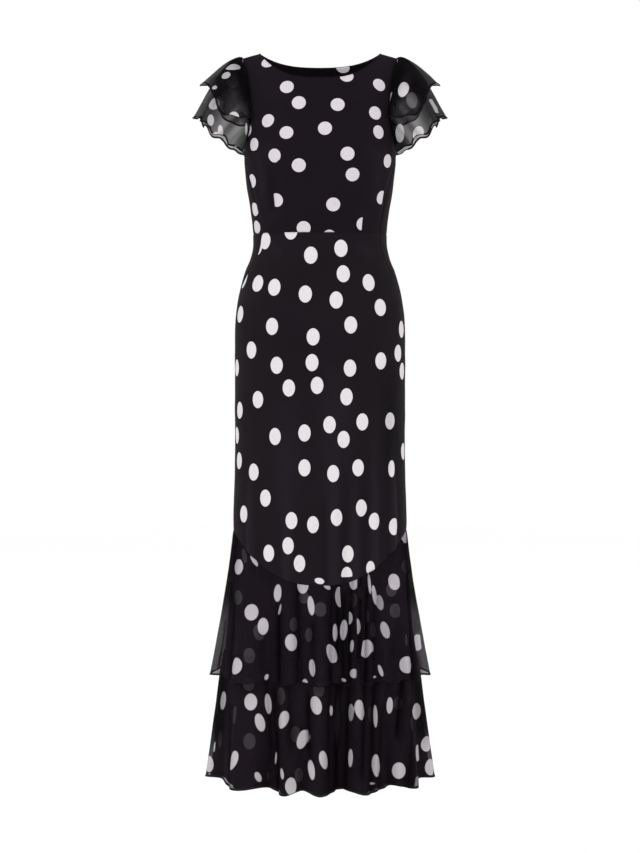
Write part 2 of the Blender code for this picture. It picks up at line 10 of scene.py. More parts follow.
import bpy
import numpy as np
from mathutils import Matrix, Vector


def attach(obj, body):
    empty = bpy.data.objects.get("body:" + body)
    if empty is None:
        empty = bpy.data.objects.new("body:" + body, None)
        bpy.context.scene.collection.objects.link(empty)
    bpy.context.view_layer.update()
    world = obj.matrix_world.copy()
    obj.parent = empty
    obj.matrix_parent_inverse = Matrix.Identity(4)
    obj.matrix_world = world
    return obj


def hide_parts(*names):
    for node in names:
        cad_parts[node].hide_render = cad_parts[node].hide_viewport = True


# The camera looks at the dress from far off, a little downwards. The print's chart is laid out
# as the camera sees the dress, in units of 1.85 mm.
MM_PER_UNIT = 1.85
MM_PER_METRE = 1000
CHART_CENTRE = 320.0
CHART_SIZE = (640, 853)
CAMERA_DISTANCE = 4.2
CAMERA_HEIGHT = -0.5115
CAMERA_AIM = -0.6860
CAMERA_PLACE = (0, -CAMERA_DISTANCE, CAMERA_HEIGHT)
CAMERA_TILT = math.atan2(CAMERA_HEIGHT - CAMERA_AIM, CAMERA_DISTANCE)
FLOOR = -1.640

# What turns a piece of the wearer's left side into one of their right side.
MIRROR = (-1, 1, 1)

# Heights of the seams and hems, and the shoulder's shape.
WAIST = -0.3310
UNDERARM = -0.1860
FRONT_NECK = -0.0507
BACK_NECK = -0.0200
TIER_SEAM_SIDE = -0.8760
TIER_SEAM_CENTRE = -0.9700
UPPER_TIER_HEM = -1.1440
LOWER_TIER_TOP = -1.1000
LOWER_HEM_SIDE = -1.3330
LOWER_HEM_CENTRE = -1.3400
HEM_DIP = 0.35
UNDERSKIRT_TUCK = 0.0060
UNDERSKIRT_HEM_RISE = 0.0015
NECK_POINT_X = 0.1110
SHOULDER_POINT_X = 0.1415
SHOULDER_SLOPE = 0.27
SHOULDER_ROLL = 0.0900
NECK_SQUARENESS = 3.0
TIER_SEAM_SQUARENESS = 2.4
BUST_HEIGHT = -0.1880
BUST_ACROSS = 0.0700
BUST_WIDTH = 0.0440
BUST_TALL = 0.0560
BUST_DEPTH = 0.0150

# The layers below the tier seam, and the cloth's thickness.
UPPER_TIER_FLARE = 0.0370
UPPER_TIER_CURVE = 1.2
UNDERSKIRT_FLARE = 0.0215
UNDERSKIRT_CURVE = 1.1
LOWER_TIER_FLARE = 0.0200
LOWER_TIER_CURVE = 1.1
UNDERSKIRT_FULLNESS = 0.8
TIER_GAP = 0.0024
UNDER_TIER = 0.0022
CLOTH = 0.0012
LAYER_GAP = 0.0024
SEAM_GROOVE = 0.0007
SEAM_REACH = 2.2
FLAT_BY_SEAM = 8.0
HEM_ROLL = 0.0008

# Small uneven pleats under a gathered seam: how deep they are, how soon they fade and begin, how
# many a whole turn holds, and how far and how often their spacing drifts.
GATHER_DEPTH = 0.0011
GATHER_FADE = 5
GATHER_START = 25
UPPER_GATHERS = 46
LOWER_GATHERS = 41
Drift = namedtuple("Drift", "far often")
GATHER_DRIFTS = (Drift(1.7, 5.3), Drift(2.1, 2.1))

# Ripples that swell the cloth a little: how fast each runs along x, y and z, and its start.
UNEVEN = 0.0004
FINE_SHARE = 0.6
Ripple = namedtuple("Ripple", "x y z start")
BROAD_RIPPLES = (Ripple(61, 0, 23, 1.3), Ripple(0, -31, 47, 0.4))
FINE_RIPPLES = (Ripple(133, 0, -71, 0), Ripple(0, 97, 59, 2.0))

# The sleeves: how far round the armhole they reach, their hem's outer and lower ends, how their
# cloth lifts, and the cut edge's uneven length.
SLEEVE_REACH = 156.0
SLEEVE_TIP = (0.2270, -0.1170)
SLEEVE_UNDERARM = (0.1370, -0.1850)
SLEEVE_FORE_AFT = 0.0780
SLEEVE_ROUNDING = 0.65
SLEEVE_SAG = 0.0055
SLEEVE_BULGE = 0.0150
SLEEVE_BULGE_POWER = 0.6
SLEEVE_SEAM_LIFT = 0.0014
SLEEVE_WAVES = 7
SLEEVE_WAVE = 0.0050
FLUTTER_POWER = 1.5
SLEEVE_PLEAT_START = 1.5
RAG = 0.028
RAGS = 10
SECOND_RAG = 0.5
SECOND_RAGS = 0.6
RAG_FADE = 2
SLEEVE_RAG_START = 0.5
FRILL_RAG_START = 2.6
FRILL_REACH = 133.0
FRILL_LIFT = 0.0115
FRILL_WAVES = 5
FRILL_WAVE = 0.0050
FRILL_GAP = 0.0014
FRILL_END_POWER = 6
FRILL_END_LIFT = 0.3
FrillLength = namedtuple("FrillLength", "turn share")
FRILL_LENGTHS = [
    FrillLength(0, 0.62),
    FrillLength(16, 0.59),
    FrillLength(32, 0.58),
    FrillLength(50, 0.68),
    FrillLength(75, 0.74),
    FrillLength(95, 0.66),
    FrillLength(112, 0.46),
    FrillLength(126, 0.22),
    FrillLength(133, 0.10),
]

# A small step along a surface, from which its slope is worked out, and what keeps a face, a
# direction or a line's step of no size from being divided by zero.
STEP = 2e-5
TINY_FACE = 1e-15
TINY = 1e-12

# How finely each piece is drawn. A bodice panel's top has the neck's columns and then the
# shoulder's, and its outer edge has the side seam's rows and then the armhole's.
Grid = namedtuple("Grid", "columns rows")
BODICE_GRID = Grid(46, 112)
NECK_COLUMNS = 32
SHOULDER_COLUMNS = BODICE_GRID.columns - NECK_COLUMNS
SEAM_ROWS = 47
SKIRT_FRONT_GRID = Grid(130, 170)
SKIRT_BACK_GRID = Grid(64, 170)
UNDERSKIRT_GRID = Grid(260, 130)
TIER_GRID = Grid(380, 80)
SLEEVE_GRID = Grid(260, 50)
FRILL_GRID = Grid(240, 36)

# Farther than any line or dot that a point belongs to, in millimetres or chart units, how near a
# charted dot's place has to be, and how many steps a line is measured in.
FAR = 99.0
CHART_SLACK = 12.0
LINE_STEPS = 70

# The chart holds every dot on cloth that faces the camera more than this, that shows in the neck,
# or that lies along the shoulders.
CHARTED = -0.15
INSIDE_NECK = 88.0
SHOULDER_MARGIN = 0.016

# Level sections of the worn form. Squareness is the power of the oval.
Section = namedtuple("Section", "height half_width front back squareness")
SECTIONS = [
    Section(0.000, 0.1435, 0.052, 0.052, 2.6),
    Section(-0.051, 0.1435, 0.072, 0.077, 2.6),
    Section(-0.100, 0.1428, 0.088, 0.094, 2.6),
    Section(-0.186, 0.1400, 0.104, 0.097, 2.5),
    Section(-0.245, 0.1350, 0.102, 0.092, 2.4),
    Section(-0.290, 0.1277, 0.096, 0.086, 2.3),
    Section(-0.334, 0.1232, 0.092, 0.082, 2.2),
    Section(-0.356, 0.1238, 0.093, 0.086, 2.2),
    Section(-0.378, 0.1290, 0.095, 0.093, 2.2),
    Section(-0.400, 0.1380, 0.098, 0.101, 2.25),
    Section(-0.434, 0.1480, 0.102, 0.111, 2.3),
    Section(-0.490, 0.1563, 0.106, 0.120, 2.35),
    Section(-0.560, 0.1573, 0.107, 0.121, 2.35),
    Section(-0.720, 0.1573, 0.107, 0.118, 2.35),
    Section(-0.876, 0.1605, 0.108, 0.115, 2.3),
    Section(-1.350, 0.1605, 0.108, 0.115, 2.3),
]

# The side seam's place, in degrees from the centre front.
SideSeam = namedtuple("SideSeam", "height angle")
SIDE_SEAM = [
    SideSeam(-0.186, 90.0),
    SideSeam(-0.210, 78.0),
    SideSeam(-0.233, 70.0),
    SideSeam(-0.278, 64.0),
    SideSeam(-0.331, 61.0),
    SideSeam(-0.380, 66.0),
    SideSeam(-0.440, 82.0),
    SideSeam(-0.480, 90.0),
    SideSeam(-1.350, 90.0),
]

# Half the width between the armholes, on the front and on the back.
Armhole = namedtuple("Armhole", "height front back")
ARMHOLE = [
    Armhole(-0.0110, 0.1415, 0.1415),
    Armhole(-0.0280, 0.1365, 0.1385),
    Armhole(-0.0454, 0.1316, 0.1350),
    Armhole(-0.0856, 0.1270, 0.1315),
    Armhole(-0.1160, 0.1252, 0.1300),
    Armhole(-0.1459, 0.1305, 0.1325),
    Armhole(-0.1700, 0.1358, 0.1362),
    Armhole(-0.1860, 0.1400, 0.1400),
]

# Soft upright folds in the skirt: where each is, how wide, how deep, where it begins and is full.
# The swing is how soon a fold's ridge gives way to the hollows beside it.
FOLD_SWING = 1.6
Fold = namedtuple("Fold", "angle width depth top full")
SKIRT_FOLDS = [
    Fold(-52, 5.5, 0.0030, -0.70, -0.88),
    Fold(-22, 5.5, 0.0025, -0.74, -0.91),
    Fold(9, 5.0, 0.0045, -0.70, -0.91),
    Fold(23, 5.0, 0.0040, -0.72, -0.90),
    Fold(38, 5.0, 0.0040, -0.66, -0.88),
    Fold(57, 5.0, 0.0045, -0.66, -0.86),
    Fold(112, 5.5, 0.0040, -0.70, -0.87),
    Fold(141, 5.5, 0.0040, -0.72, -0.90),
    Fold(164, 5.0, 0.0035, -0.74, -0.91),
    Fold(199, 5.0, 0.0040, -0.72, -0.91),
    Fold(223, 5.5, 0.0040, -0.70, -0.89),
    Fold(250, 5.5, 0.0035, -0.68, -0.87),
]

# Crests and hollows of each tier at its hem, all the way round from the wearer's right.
Wave = namedtuple("Wave", "angle out")
UPPER_TIER_WAVES = [
    Wave(-90, 0.008), Wave(-72, -0.007), Wave(-48, 0.008), Wave(-29, -0.008),
    Wave(-20, 0.006), Wave(-11, -0.008), Wave(0, 0.008), Wave(8, -0.007),
    Wave(15, 0.007), Wave(22, -0.008), Wave(29, 0.007), Wave(36, -0.008),
    Wave(45, 0.006), Wave(54, -0.006), Wave(64, 0.008), Wave(76, -0.007),
    Wave(90, 0.008), Wave(104, -0.008), Wave(117, 0.008), Wave(130, -0.007),
    Wave(142, 0.008), Wave(153, -0.008), Wave(163, 0.007), Wave(172, -0.007),
    Wave(182, 0.008), Wave(192, -0.007), Wave(203, 0.008), Wave(214, -0.008),
    Wave(226, 0.007), Wave(238, -0.008), Wave(250, 0.006), Wave(260, -0.005),
    Wave(270, 0.008),
]
LOWER_TIER_WAVES = [
    Wave(-90, 0.012), Wave(-71, -0.009), Wave(-49, 0.012), Wave(-31, -0.012),
    Wave(-19, 0.012), Wave(-10, -0.009), Wave(0, 0.012), Wave(12, -0.012),
    Wave(26, 0.012), Wave(43, -0.012), Wave(57, 0.012), Wave(72, -0.009),
    Wave(90, 0.012), Wave(104, -0.011), Wave(118, 0.012), Wave(133, -0.012),
    Wave(148, 0.012), Wave(164, -0.012), Wave(179, 0.012), Wave(193, -0.012),
    Wave(207, 0.012), Wave(222, -0.011), Wave(237, 0.012), Wave(253, -0.010),
    Wave(270, 0.012),
]

# Narrow folds in the tiers and sleeves, in degrees from the middle of the front or back or from the
# shoulder: how wide and deep each is, how hard it pinches the cloth together and so how dark its
# painted shade is, and between which shares of the piece's length it runs.
Pleat = namedtuple("Pleat", "angle width depth pinch start end")
UPPER_FRONT_PLEATS = [
    Pleat(-66, 3.0, 0.0050, 0.70, 0.35, 1.30),
    Pleat(-38, 3.0, 0.0030, 0.50, 0.50, 1.30),
    Pleat(-26, 2.6, 0.0095, 1.00, 0.22, 1.30),
    Pleat(-13.5, 2.2, 0.0075, 0.85, -0.30, 1.30),
    Pleat(-4.5, 2.0, 0.0045, 0.60, 0.30, 1.30),
    Pleat(6.5, 2.0, 0.0060, 0.80, -0.30, 1.30),
    Pleat(10.5, 2.4, 0.0085, 1.00, -0.30, 0.85),
    Pleat(14.5, 2.2, 0.0075, 0.95, 0.02, 1.30),
    Pleat(19.0, 2.2, 0.0085, 1.00, -0.10, 1.30),
    Pleat(25.0, 1.8, 0.0080, 0.90, -0.30, 1.30),
    Pleat(29.5, 1.7, 0.0085, 0.95, -0.30, 1.10),
    Pleat(35.0, 2.4, 0.0050, 0.70, 0.10, 1.30),
    Pleat(50.0, 3.0, 0.0030, 0.50, 0.55, 1.30),
    Pleat(68.0, 2.6, 0.0070, 0.85, 0.20, 1.30),
]
LOWER_FRONT_PLEATS = [
    Pleat(-62, 3.0, 0.0040, 0.60, 0.30, 1.30),
    Pleat(-31, 2.2, 0.0050, 0.75, 0.05, 0.90),
    Pleat(-26, 2.6, 0.0110, 0.98, 0.15, 1.30),
    Pleat(-17, 2.2, 0.0050, 0.60, 0.10, 0.75),
    Pleat(-6.5, 1.9, 0.0070, 0.85, 0.18, 0.80),
    Pleat(5.0, 2.2, 0.0060, 0.75, 0.05, 1.30),
    Pleat(10.0, 3.4, 0.0110, 1.00, 0.02, 1.30),
    Pleat(16.5, 2.4, 0.0070, 0.90, 0.10, 1.30),
    Pleat(25.0, 2.0, 0.0070, 0.85, 0.02, 0.95),
    Pleat(31.5, 3.0, 0.0085, 0.90, 0.05, 1.30),
    Pleat(38.0, 2.2, 0.0050, 0.70, 0.30, 1.30),
    Pleat(51.0, 2.2, 0.0080, 0.90, -0.10, 0.70),
    Pleat(60.0, 2.6, 0.0060, 0.80, 0.30, 1.30),
]
UPPER_BACK_PLEATS = [
    Pleat(-64, 2.8, 0.0055, 0.75, 0.15, 1.30),
    Pleat(-50, 2.2, 0.0060, 0.80, -0.30, 1.30),
    Pleat(-37, 2.4, 0.0075, 0.90, -0.10, 1.30),
    Pleat(-27, 1.9, 0.0060, 0.85, -0.30, 0.90),
    Pleat(-18, 1.9, 0.0080, 0.92, 0.05, 1.30),
    Pleat(-8, 1.8, 0.0065, 0.85, -0.30, 1.30),
    Pleat(4, 1.9, 0.0075, 0.90, -0.10, 1.30),
    Pleat(15, 2.0, 0.0060, 0.80, -0.30, 1.00),
    Pleat(24, 2.2, 0.0080, 0.92, 0.10, 1.30),
    Pleat(39, 2.4, 0.0065, 0.85, -0.20, 1.30),
    Pleat(55, 2.6, 0.0055, 0.75, 0.20, 1.30),
    Pleat(70, 2.8, 0.0050, 0.70, 0.30, 1.30),
]
LOWER_BACK_PLEATS = [
    Pleat(-68, 2.8, 0.0060, 0.75, 0.20, 1.30),
    Pleat(-47, 2.4, 0.0090, 0.92, 0.05, 1.30),
    Pleat(-30, 2.0, 0.0065, 0.80, 0.10, 0.85),
    Pleat(-17, 2.4, 0.0100, 0.95, 0.05, 1.30),
    Pleat(-3, 2.0, 0.0060, 0.80, 0.20, 1.30),
    Pleat(13, 2.4, 0.0100, 0.95, 0.02, 1.30),
    Pleat(26, 2.0, 0.0060, 0.80, 0.15, 0.90),
    Pleat(41, 2.4, 0.0090, 0.92, 0.05, 1.30),
    Pleat(56, 2.2, 0.0060, 0.80, 0.20, 1.30),
    Pleat(72, 2.8, 0.0060, 0.75, 0.20, 1.30),
]
SLEEVE_PLEATS = [
    Pleat(-128, 6.0, 0.0040, 0.45, 0.10, 1.30),
    Pleat(-96, 6.0, 0.0050, 0.50, -0.30, 1.30),
    Pleat(-64, 5.5, 0.0045, 0.50, -0.30, 0.90),
    Pleat(-36, 5.5, 0.0050, 0.50, -0.10, 1.30),
    Pleat(16, 5.0, 0.0030, 0.45, 0.10, 1.30),
    Pleat(34, 5.0, 0.0040, 0.55, -0.30, 1.30),
    Pleat(56, 5.0, 0.0035, 0.45, -0.30, 0.85),
    Pleat(104, 5.0, 0.0050, 0.60, 0.05, 1.30),
    Pleat(128, 5.5, 0.0045, 0.50, 0.10, 1.30),
]
FRILL_PLEATS = [
    Pleat(-104, 6.0, 0.0035, 0.45, 0.00, 1.30),
    Pleat(-74, 5.5, 0.0045, 0.50, -0.30, 1.30),
    Pleat(-40, 5.5, 0.0045, 0.50, -0.30, 1.30),
    Pleat(-12, 5.0, 0.0030, 0.45, 0.05, 1.30),
    Pleat(25, 5.0, 0.0045, 0.60, -0.30, 1.30),
    Pleat(62, 5.0, 0.0045, 0.60, -0.30, 1.30),
    Pleat(92, 5.5, 0.0040, 0.50, -0.10, 1.30),
]
PLEAT_LEAN = 0.11
PLEAT_FADE = 0.16
PLEAT_PULL = 0.8
PLEAT_START = 2

# How the painted shade follows the folds: how wide a pleat's painted shade is, how deep a wave or
# crease is where its painted shade is darkest, how much a ridge is lightened by a painted
# highlight, and how dark the painted shade under a gathered seam is.
PLEAT_SHADE = 0.45
WAVE_SHADE = 0.016
CREASE_SHADE = 0.0045
RIDGE_LIGHT = -0.6
GATHER_SHADE = 0.3
GATHER_SHADE_FADE = 6

# How much the sleeves' folds hide and how dark their painted shade is, from 0 for one flat layer to
# 1, by the turn round the armhole.
FoldCover = namedtuple("FoldCover", "turn cover")
RIGHT_SLEEVE_COVER_AND_PAINTED_SHADE = [
    FoldCover(0, 0.50), FoldCover(10, 0.50), FoldCover(22, 0.70), FoldCover(50, 0.65),
    FoldCover(66, 0.42), FoldCover(80, 0.12), FoldCover(100, 0.00), FoldCover(116, 0.18),
    FoldCover(130, 0.55), FoldCover(144, 0.85), FoldCover(156, 0.95),
]
LEFT_SLEEVE_COVER_AND_PAINTED_SHADE = [
    FoldCover(0, 0.60), FoldCover(24, 0.72), FoldCover(44, 0.75), FoldCover(60, 0.60),
    FoldCover(72, 0.20), FoldCover(90, 0.10), FoldCover(108, 0.30), FoldCover(122, 0.85),
    FoldCover(156, 0.95),
]

# Under the armhole's seam the sleeves' cloth lies in folds, which hide more and carry painted
# shade, down to this share of its length.
SLEEVE_DARK_TO = 0.52
SLEEVE_DARK_FADE = 0.40

# Beside their side seams the tiers lie doubled, which hides more and is darkened with painted
# shade, down to these shares of their length.
UPPER_SIDE_FOLD = 0.66
LOWER_SIDE_FOLD = 0.82
SIDE_FOLD_FADE = 0.22
SIDE_FOLD_COVER_AND_PAINTED_SHADE = 0.9
SIDE_FOLD_REACH = 2.2
SIDE_FOLD_STEEPNESS = 4.5

# Slighter creases that only show up close. The depth is out of the cloth, or in where it is less
# than zero, and each runs from one angle and height to another. A degree takes up about so much
# cloth, and the power is how evenly a crease runs out at its ends.
DEGREE = 0.0024
CREASE_POWER = 0.8
Crease = namedtuple("Crease", "from_angle from_height to_angle to_height width depth")
BODICE_CREASES = [
    Crease(-47, -0.185, -49, -0.290, 0.012, 0.0022),
    Crease(-40, -0.200, -42, -0.300, 0.010, -0.0016),
    Crease(-60, -0.200, -35, -0.175, 0.012, 0.0014),
    Crease(58, -0.205, 33, -0.178, 0.012, 0.0014),
    Crease(46, -0.190, 47, -0.280, 0.012, 0.0016),
    Crease(-30, -0.285, -52, -0.315, 0.010, 0.0012),
    Crease(28, -0.290, 50, -0.312, 0.010, 0.0012),
    Crease(-20, -0.090, -50, -0.075, 0.014, 0.0012),
    Crease(22, -0.085, 52, -0.072, 0.014, 0.0012),
    Crease(135, -0.250, 165, -0.300, 0.012, 0.0014),
    Crease(225, -0.245, 195, -0.300, 0.012, 0.0014),
    Crease(150, -0.110, 128, -0.150, 0.014, 0.0014),
    Crease(210, -0.110, 232, -0.155, 0.014, 0.0014),
]
SKIRT_CREASES = [
    Crease(-50, -0.352, -30, -0.372, 0.010, 0.0012),
    Crease(30, -0.350, 52, -0.375, 0.010, 0.0012),
    Crease(-75, -0.430, -40, -0.455, 0.016, 0.0012),
    Crease(45, -0.450, 78, -0.428, 0.016, 0.0012),
    Crease(-20, -0.620, -24, -0.860, 0.020, 0.0016),
    Crease(12, -0.560, 8, -0.840, 0.022, 0.0018),
    Crease(52, -0.560, 56, -0.840, 0.020, -0.0022),
    Crease(150, -0.380, 170, -0.410, 0.012, 0.0014),
    Crease(205, -0.385, 188, -0.415, 0.012, 0.0014),
    Crease(140, -0.560, 143, -0.800, 0.022, 0.0018),
    Crease(222, -0.540, 219, -0.810, 0.022, 0.0018),
]

# The front's two darts, each from a low to a high end as (angle, height), and how many points
# each is drawn with.
DART_POINTS = 24
DARTS = [
    [(-26.5, -0.331), (-29.5, -0.262)],
    [(26.5, -0.331), (24.0, -0.262)],
]

# The print, charted from the front: across and down in chart units, as seen from the
# camera, with the dot's width and height where they differ from its panel's usual ones. Left and
# right are how far it reaches from its middle where a fold, dart or seam cuts it off. Painted light
# and shade is how bright it is painted beside the others: painted shade darkens some in folds, and
# painted light brightens one in the neck's shade.
Dot = namedtuple("Dot", "x y wide tall tilt left right tone", defaults=(None, None, 0, 99, 99, 1))
PRINT = {
    "bodice_front": [
        Dot(286.8, 86.8), Dot(298.8, 102.5), Dot(337.7, 104.5), Dot(379.3, 84.8),
        Dot(375.2, 113.0), Dot(267.9, 120.7), Dot(286.3, 132.3), Dot(325.0, 128.2),
        Dot(378.8, 132.0), Dot(253.9, 144.8), Dot(246.4, 130.0), Dot(274.5, 155.5),
        Dot(298.8, 165.2), Dot(347.5, 153.6), Dot(352.7, 174.5), Dot(267.9, 62.0),
        Dot(346.6, 76.0), Dot(388.0, 161.0), Dot(251.7, 181.0), Dot(276.5, 200.0, left=2.6),
        Dot(333.2, 204.4), Dot(381.5, 197.5, right=2.0), Dot(303.6, 228.0), Dot(329.3, 236.5),
        Dot(363.0, 224.0, right=-1.0),
    ],
    "bodice_back_right": [Dot(255.0, 209.3), Dot(256.5, 227.3)],
    "bodice_back_left": [Dot(343.0, 67.0, tone=1.6)],
    "skirt_front": [
        Dot(290.9, 231.0), Dot(265.5, 240.8), Dot(256.3, 246.5), Dot(310.8, 255.2),
        Dot(341.0, 248.3), Dot(343.3, 273.7), Dot(368.7, 282.5), Dot(257.6, 283.4),
        Dot(274.2, 287.2), Dot(244.0, 280.0), Dot(305.3, 294.0), Dot(336.2, 300.0),
        Dot(380.6, 307.4), Dot(239.8, 314.2), Dot(271.9, 326.4), Dot(350.8, 324.9),
        Dot(401.7, 329.3), Dot(313.1, 336.8), Dot(251.3, 350.0), Dot(398.5, 353.2),
        Dot(312.0, 362.6), Dot(381.1, 360.9), Dot(276.7, 365.3), Dot(350.0, 368.1),
        Dot(237.2, 367.8), Dot(402.2, 371.1), Dot(317.1, 385.4), Dot(288.8, 388.0),
        Dot(257.7, 399.6), Dot(346.5, 396.8), Dot(239.5, 410.2), Dot(389.7, 420.9),
        Dot(362.4, 421.9), Dot(329.5, 424.7), Dot(304.5, 433.0), Dot(274.9, 436.5),
        Dot(236.7, 435.3), Dot(343.6, 439.4), Dot(403.3, 451.4), Dot(238.9, 460.7),
        Dot(304.5, 467.8), Dot(253.4, 472.0), Dot(333.2, 473.6), Dot(358.1, 467.8),
        Dot(392.0, 468.7, 8), Dot(265.4, 498.1), Dot(361.2, 508.0), Dot(243.8, 514.0),
        Dot(291.4, 520.6), Dot(313.0, 524.7), Dot(336.7, 517.5), Dot(374.7, 521.3),
        Dot(394.4, 526.7), Dot(288.0, 545.8), Dot(268.7, 553.2), Dot(347.9, 553.9),
        Dot(299.5, 563.5), Dot(370.5, 568.2, 8.5, 14.5), Dot(319.5, 581.0, 10, 6, -15),
        Dot(346.8, 575.5, 17, 11, 90, 1.5),
    ],
    "upper_tier_front": [
        Dot(238.5, 566.9, 15, 15), Dot(254.4, 561.0, 4, 13, 38), Dot(277.8, 593.0, 8, 17),
        Dot(280.0, 609.4, 2.6, 11, -12), Dot(302.9, 585.0, 11, 17), Dot(311.0, 605.6, 6.5, 19, 10),
        Dot(327.0, 586.5, 9, 4.5, -35), Dot(339.5, 596.9, 9, 20, 0, 4.5, 0.8),
        Dot(353.8, 581.0, 9, 17, 0, 4.5, 3.2), Dot(369.4, 583.8, 2.8, 20, 5),
        Dot(374.4, 595.0, 4.2, 19, 8), Dot(380.0, 602.5, 8, 15, 8, tone=0.55),
        Dot(394.1, 581.9, 12.5, 16, 12),
        Dot(251.5, 612.3, 14.5, 16), Dot(263.1, 626.3, 11, 16.5), Dot(291.5, 642.5, 12.5, 16.5),
        Dot(331.0, 653.8, 10, 19.5, 15), Dot(335.0, 632.5, 4.5, 17), Dot(343.8, 630.0, 6.4, 20),
        Dot(348.5, 618.0, 8, 13, 0, -0.5, 4), Dot(356.5, 626.3, 9, 16, 0, -0.6, 4.5),
        Dot(351.9, 646.0, 4, 12), Dot(366.5, 648.8, 10, 18, 0, 2.2, 5),
        Dot(385.0, 630.0, 9, 17, 15, tone=0.7), Dot(417.5, 642.5, 24, 16, 0, 11, 7),
        Dot(407.3, 664.8, 16.5, 16.5), Dot(235.6, 666.0, 14.5, 16.5),
        Dot(312.5, 668.0, 6.5, 17, 10), Dot(380.6, 670.6, 4, 12, 20), Dot(405.0, 536.0, 16, 14),
        Dot(266.5, 677.0, 4, 6, -20), Dot(304.5, 683.0, 6.5, 8), Dot(354.0, 673.5, 8, 9),
        Dot(374.0, 677.0, 8, 2), Dot(343.5, 680.0, 7, 3, -15),
    ],
    "lower_tier_front": [
        Dot(249.4, 655.6, 13, 15, 15), Dot(406.3, 640.0, 4.5, 12),
        Dot(223.1, 700.6, 12, 19, -15), Dot(250.6, 701.9, 13.5, 16.5),
        Dot(268.1, 703.8, 6.2, 20, 5), Dot(260.0, 722.5, 9.5, 18, 15),
        Dot(282.9, 719.8, 10, 18, -18), Dot(316.0, 705.4, 11, 18, 15), Dot(331.2, 710.6, 3, 10),
        Dot(351.0, 712.5, 6.2, 17, tone=0.6), Dot(360.6, 710.0, 9.2, 20, 8),
        Dot(375.4, 716.3, 4.2, 22, 2), Dot(389.6, 705.4, 7, 16, -4), Dot(416.2, 711.3, 22, 16),
        Dot(214.4, 746.9, 3, 11, -8), Dot(232.8, 760.4, 10.5, 20, -17), Dot(209.0, 764.0, 20, 16),
        Dot(302.3, 739.4, 10, 19, -18), Dot(307.6, 736.0, 2.5, 13, tone=0.8),
        Dot(323.8, 760.0, 9, 18, 8),
        Dot(311.3, 770.0, 8, 19.5, 14), Dot(276.0, 758.0, 2, 12), Dot(258.1, 776.9, 6, 10.5, 25),
        Dot(281.9, 773.8, 4, 11, 15), Dot(291.0, 786.3, 12.5, 17), Dot(350.6, 758.0, 5.5, 18),
        Dot(376.3, 765.6, 9.2, 22), Dot(398.8, 770.6, 13.5, 16),
        Dot(417.5, 753.0, 22, 16, 0, 11, 3),
        Dot(427.0, 743.8, 22, 15), Dot(430.5, 767.0, 20, 16), Dot(371.0, 783.5, 9, 2.2),
    ],
    "underskirt_front": [
        Dot(244.5, 556.0, 7, 15, 20), Dot(232.3, 576.3, 9, 14), Dot(237.8, 597.5, 14, 14.5),
        Dot(258.8, 632.5, 12, 16, 20), Dot(249.4, 655.6, 13, 15, 15), Dot(303.8, 597.5, 10, 12),
        Dot(320.5, 609.4, 13, 14, 0, 6.5, 5.5),
        Dot(293.8, 624.4, 8, 14), Dot(308.8, 635.0, 7, 14), Dot(353.1, 600.0, 7.5, 15),
        Dot(360.6, 593.8, 4, 12), Dot(391.3, 590.0, 12, 13), Dot(395.6, 610.6, 13, 14),
        Dot(405.5, 566.3, 20, 14), Dot(373.0, 630.0, 5, 15), Dot(367.5, 616.0, 3, 14),
        Dot(406.3, 640.0, 4.5, 12), Dot(321.3, 670.0, 8, 13), Dot(248.8, 684.0, 12.5, 13),
        Dot(234.4, 715.0, 7.5, 18), Dot(220.0, 738.8, 8.5, 18), Dot(249.4, 741.3, 12.5, 16),
        Dot(280.6, 696.3, 9.5, 17), Dot(318.8, 690.0, 11, 14), Dot(295.6, 734.4, 10, 16),
        Dot(370.0, 713.8, 5, 16), Dot(397.5, 703.0, 9.5, 13), Dot(411.9, 723.8, 6, 14),
        Dot(298.8, 775.0, 8.5, 14), Dot(268.0, 776.0, 3, 8), Dot(424.5, 731.0, 6, 10),
    ],
    "sleeve_right": [
        Dot(214.3, 104.0, 11.5, 13.5), Dot(210.7, 120.0, 6.5, 11.5), Dot(220.5, 130.5, 5, 12, 8),
        Dot(214.5, 136.0, 6, 9, -30), Dot(232.0, 149.0, 12, 4, 30), Dot(243.5, 154.0, 12, 4, 30),
        Dot(246.3, 129.0, 2.4, 12),
    ],
    "sleeve_frill_right": [
        Dot(232.8, 67.0, 15.5, 9.5), Dot(226.0, 75.5, 9, 10), Dot(214.5, 87.5, 7, 5, -35),
        Dot(234.0, 117.0, 10.5, 11.5),
    ],
    "sleeve_left": [
        Dot(434.2, 106.0, 12, 16, 25), Dot(400.0, 133.0, 8.5, 18.5),
        Dot(418.0, 134.0, 10.5, 16, -22), Dot(412.0, 100.0, 11, 17),
    ],
    "sleeve_frill_left": [Dot(403.5, 89.0, 10.5, 18, -8), Dot(389.6, 97.9, 3, 12)],
}

# A panel's usual dot, in chart units, how much narrower it is for each unit farther down the
# skirt, and how many metres apart dots are where the chart doesn't reach. None there is cut off.
DotSize = namedtuple("DotSize", "wide tall")
BODICE_DOT = DotSize(13.7, 13.4)
SKIRT_DOT = DotSize(13.2, 16.8)
TIER_DOT = DotSize(14.0, 15.5)
SKIRT_DOT_NARROWING = 0.0065
SKIRT_DOT_TOP = 250.0
DOT_SPACING = 0.047
UNCUT = (1, 1)
PRINT_SEED = 11

# A record of how a cloth piece was cut: the flat size that it needs, and how it hangs. No piece is
# given one here.
Cut = namedtuple("Cut", "width length area held hangs_from")


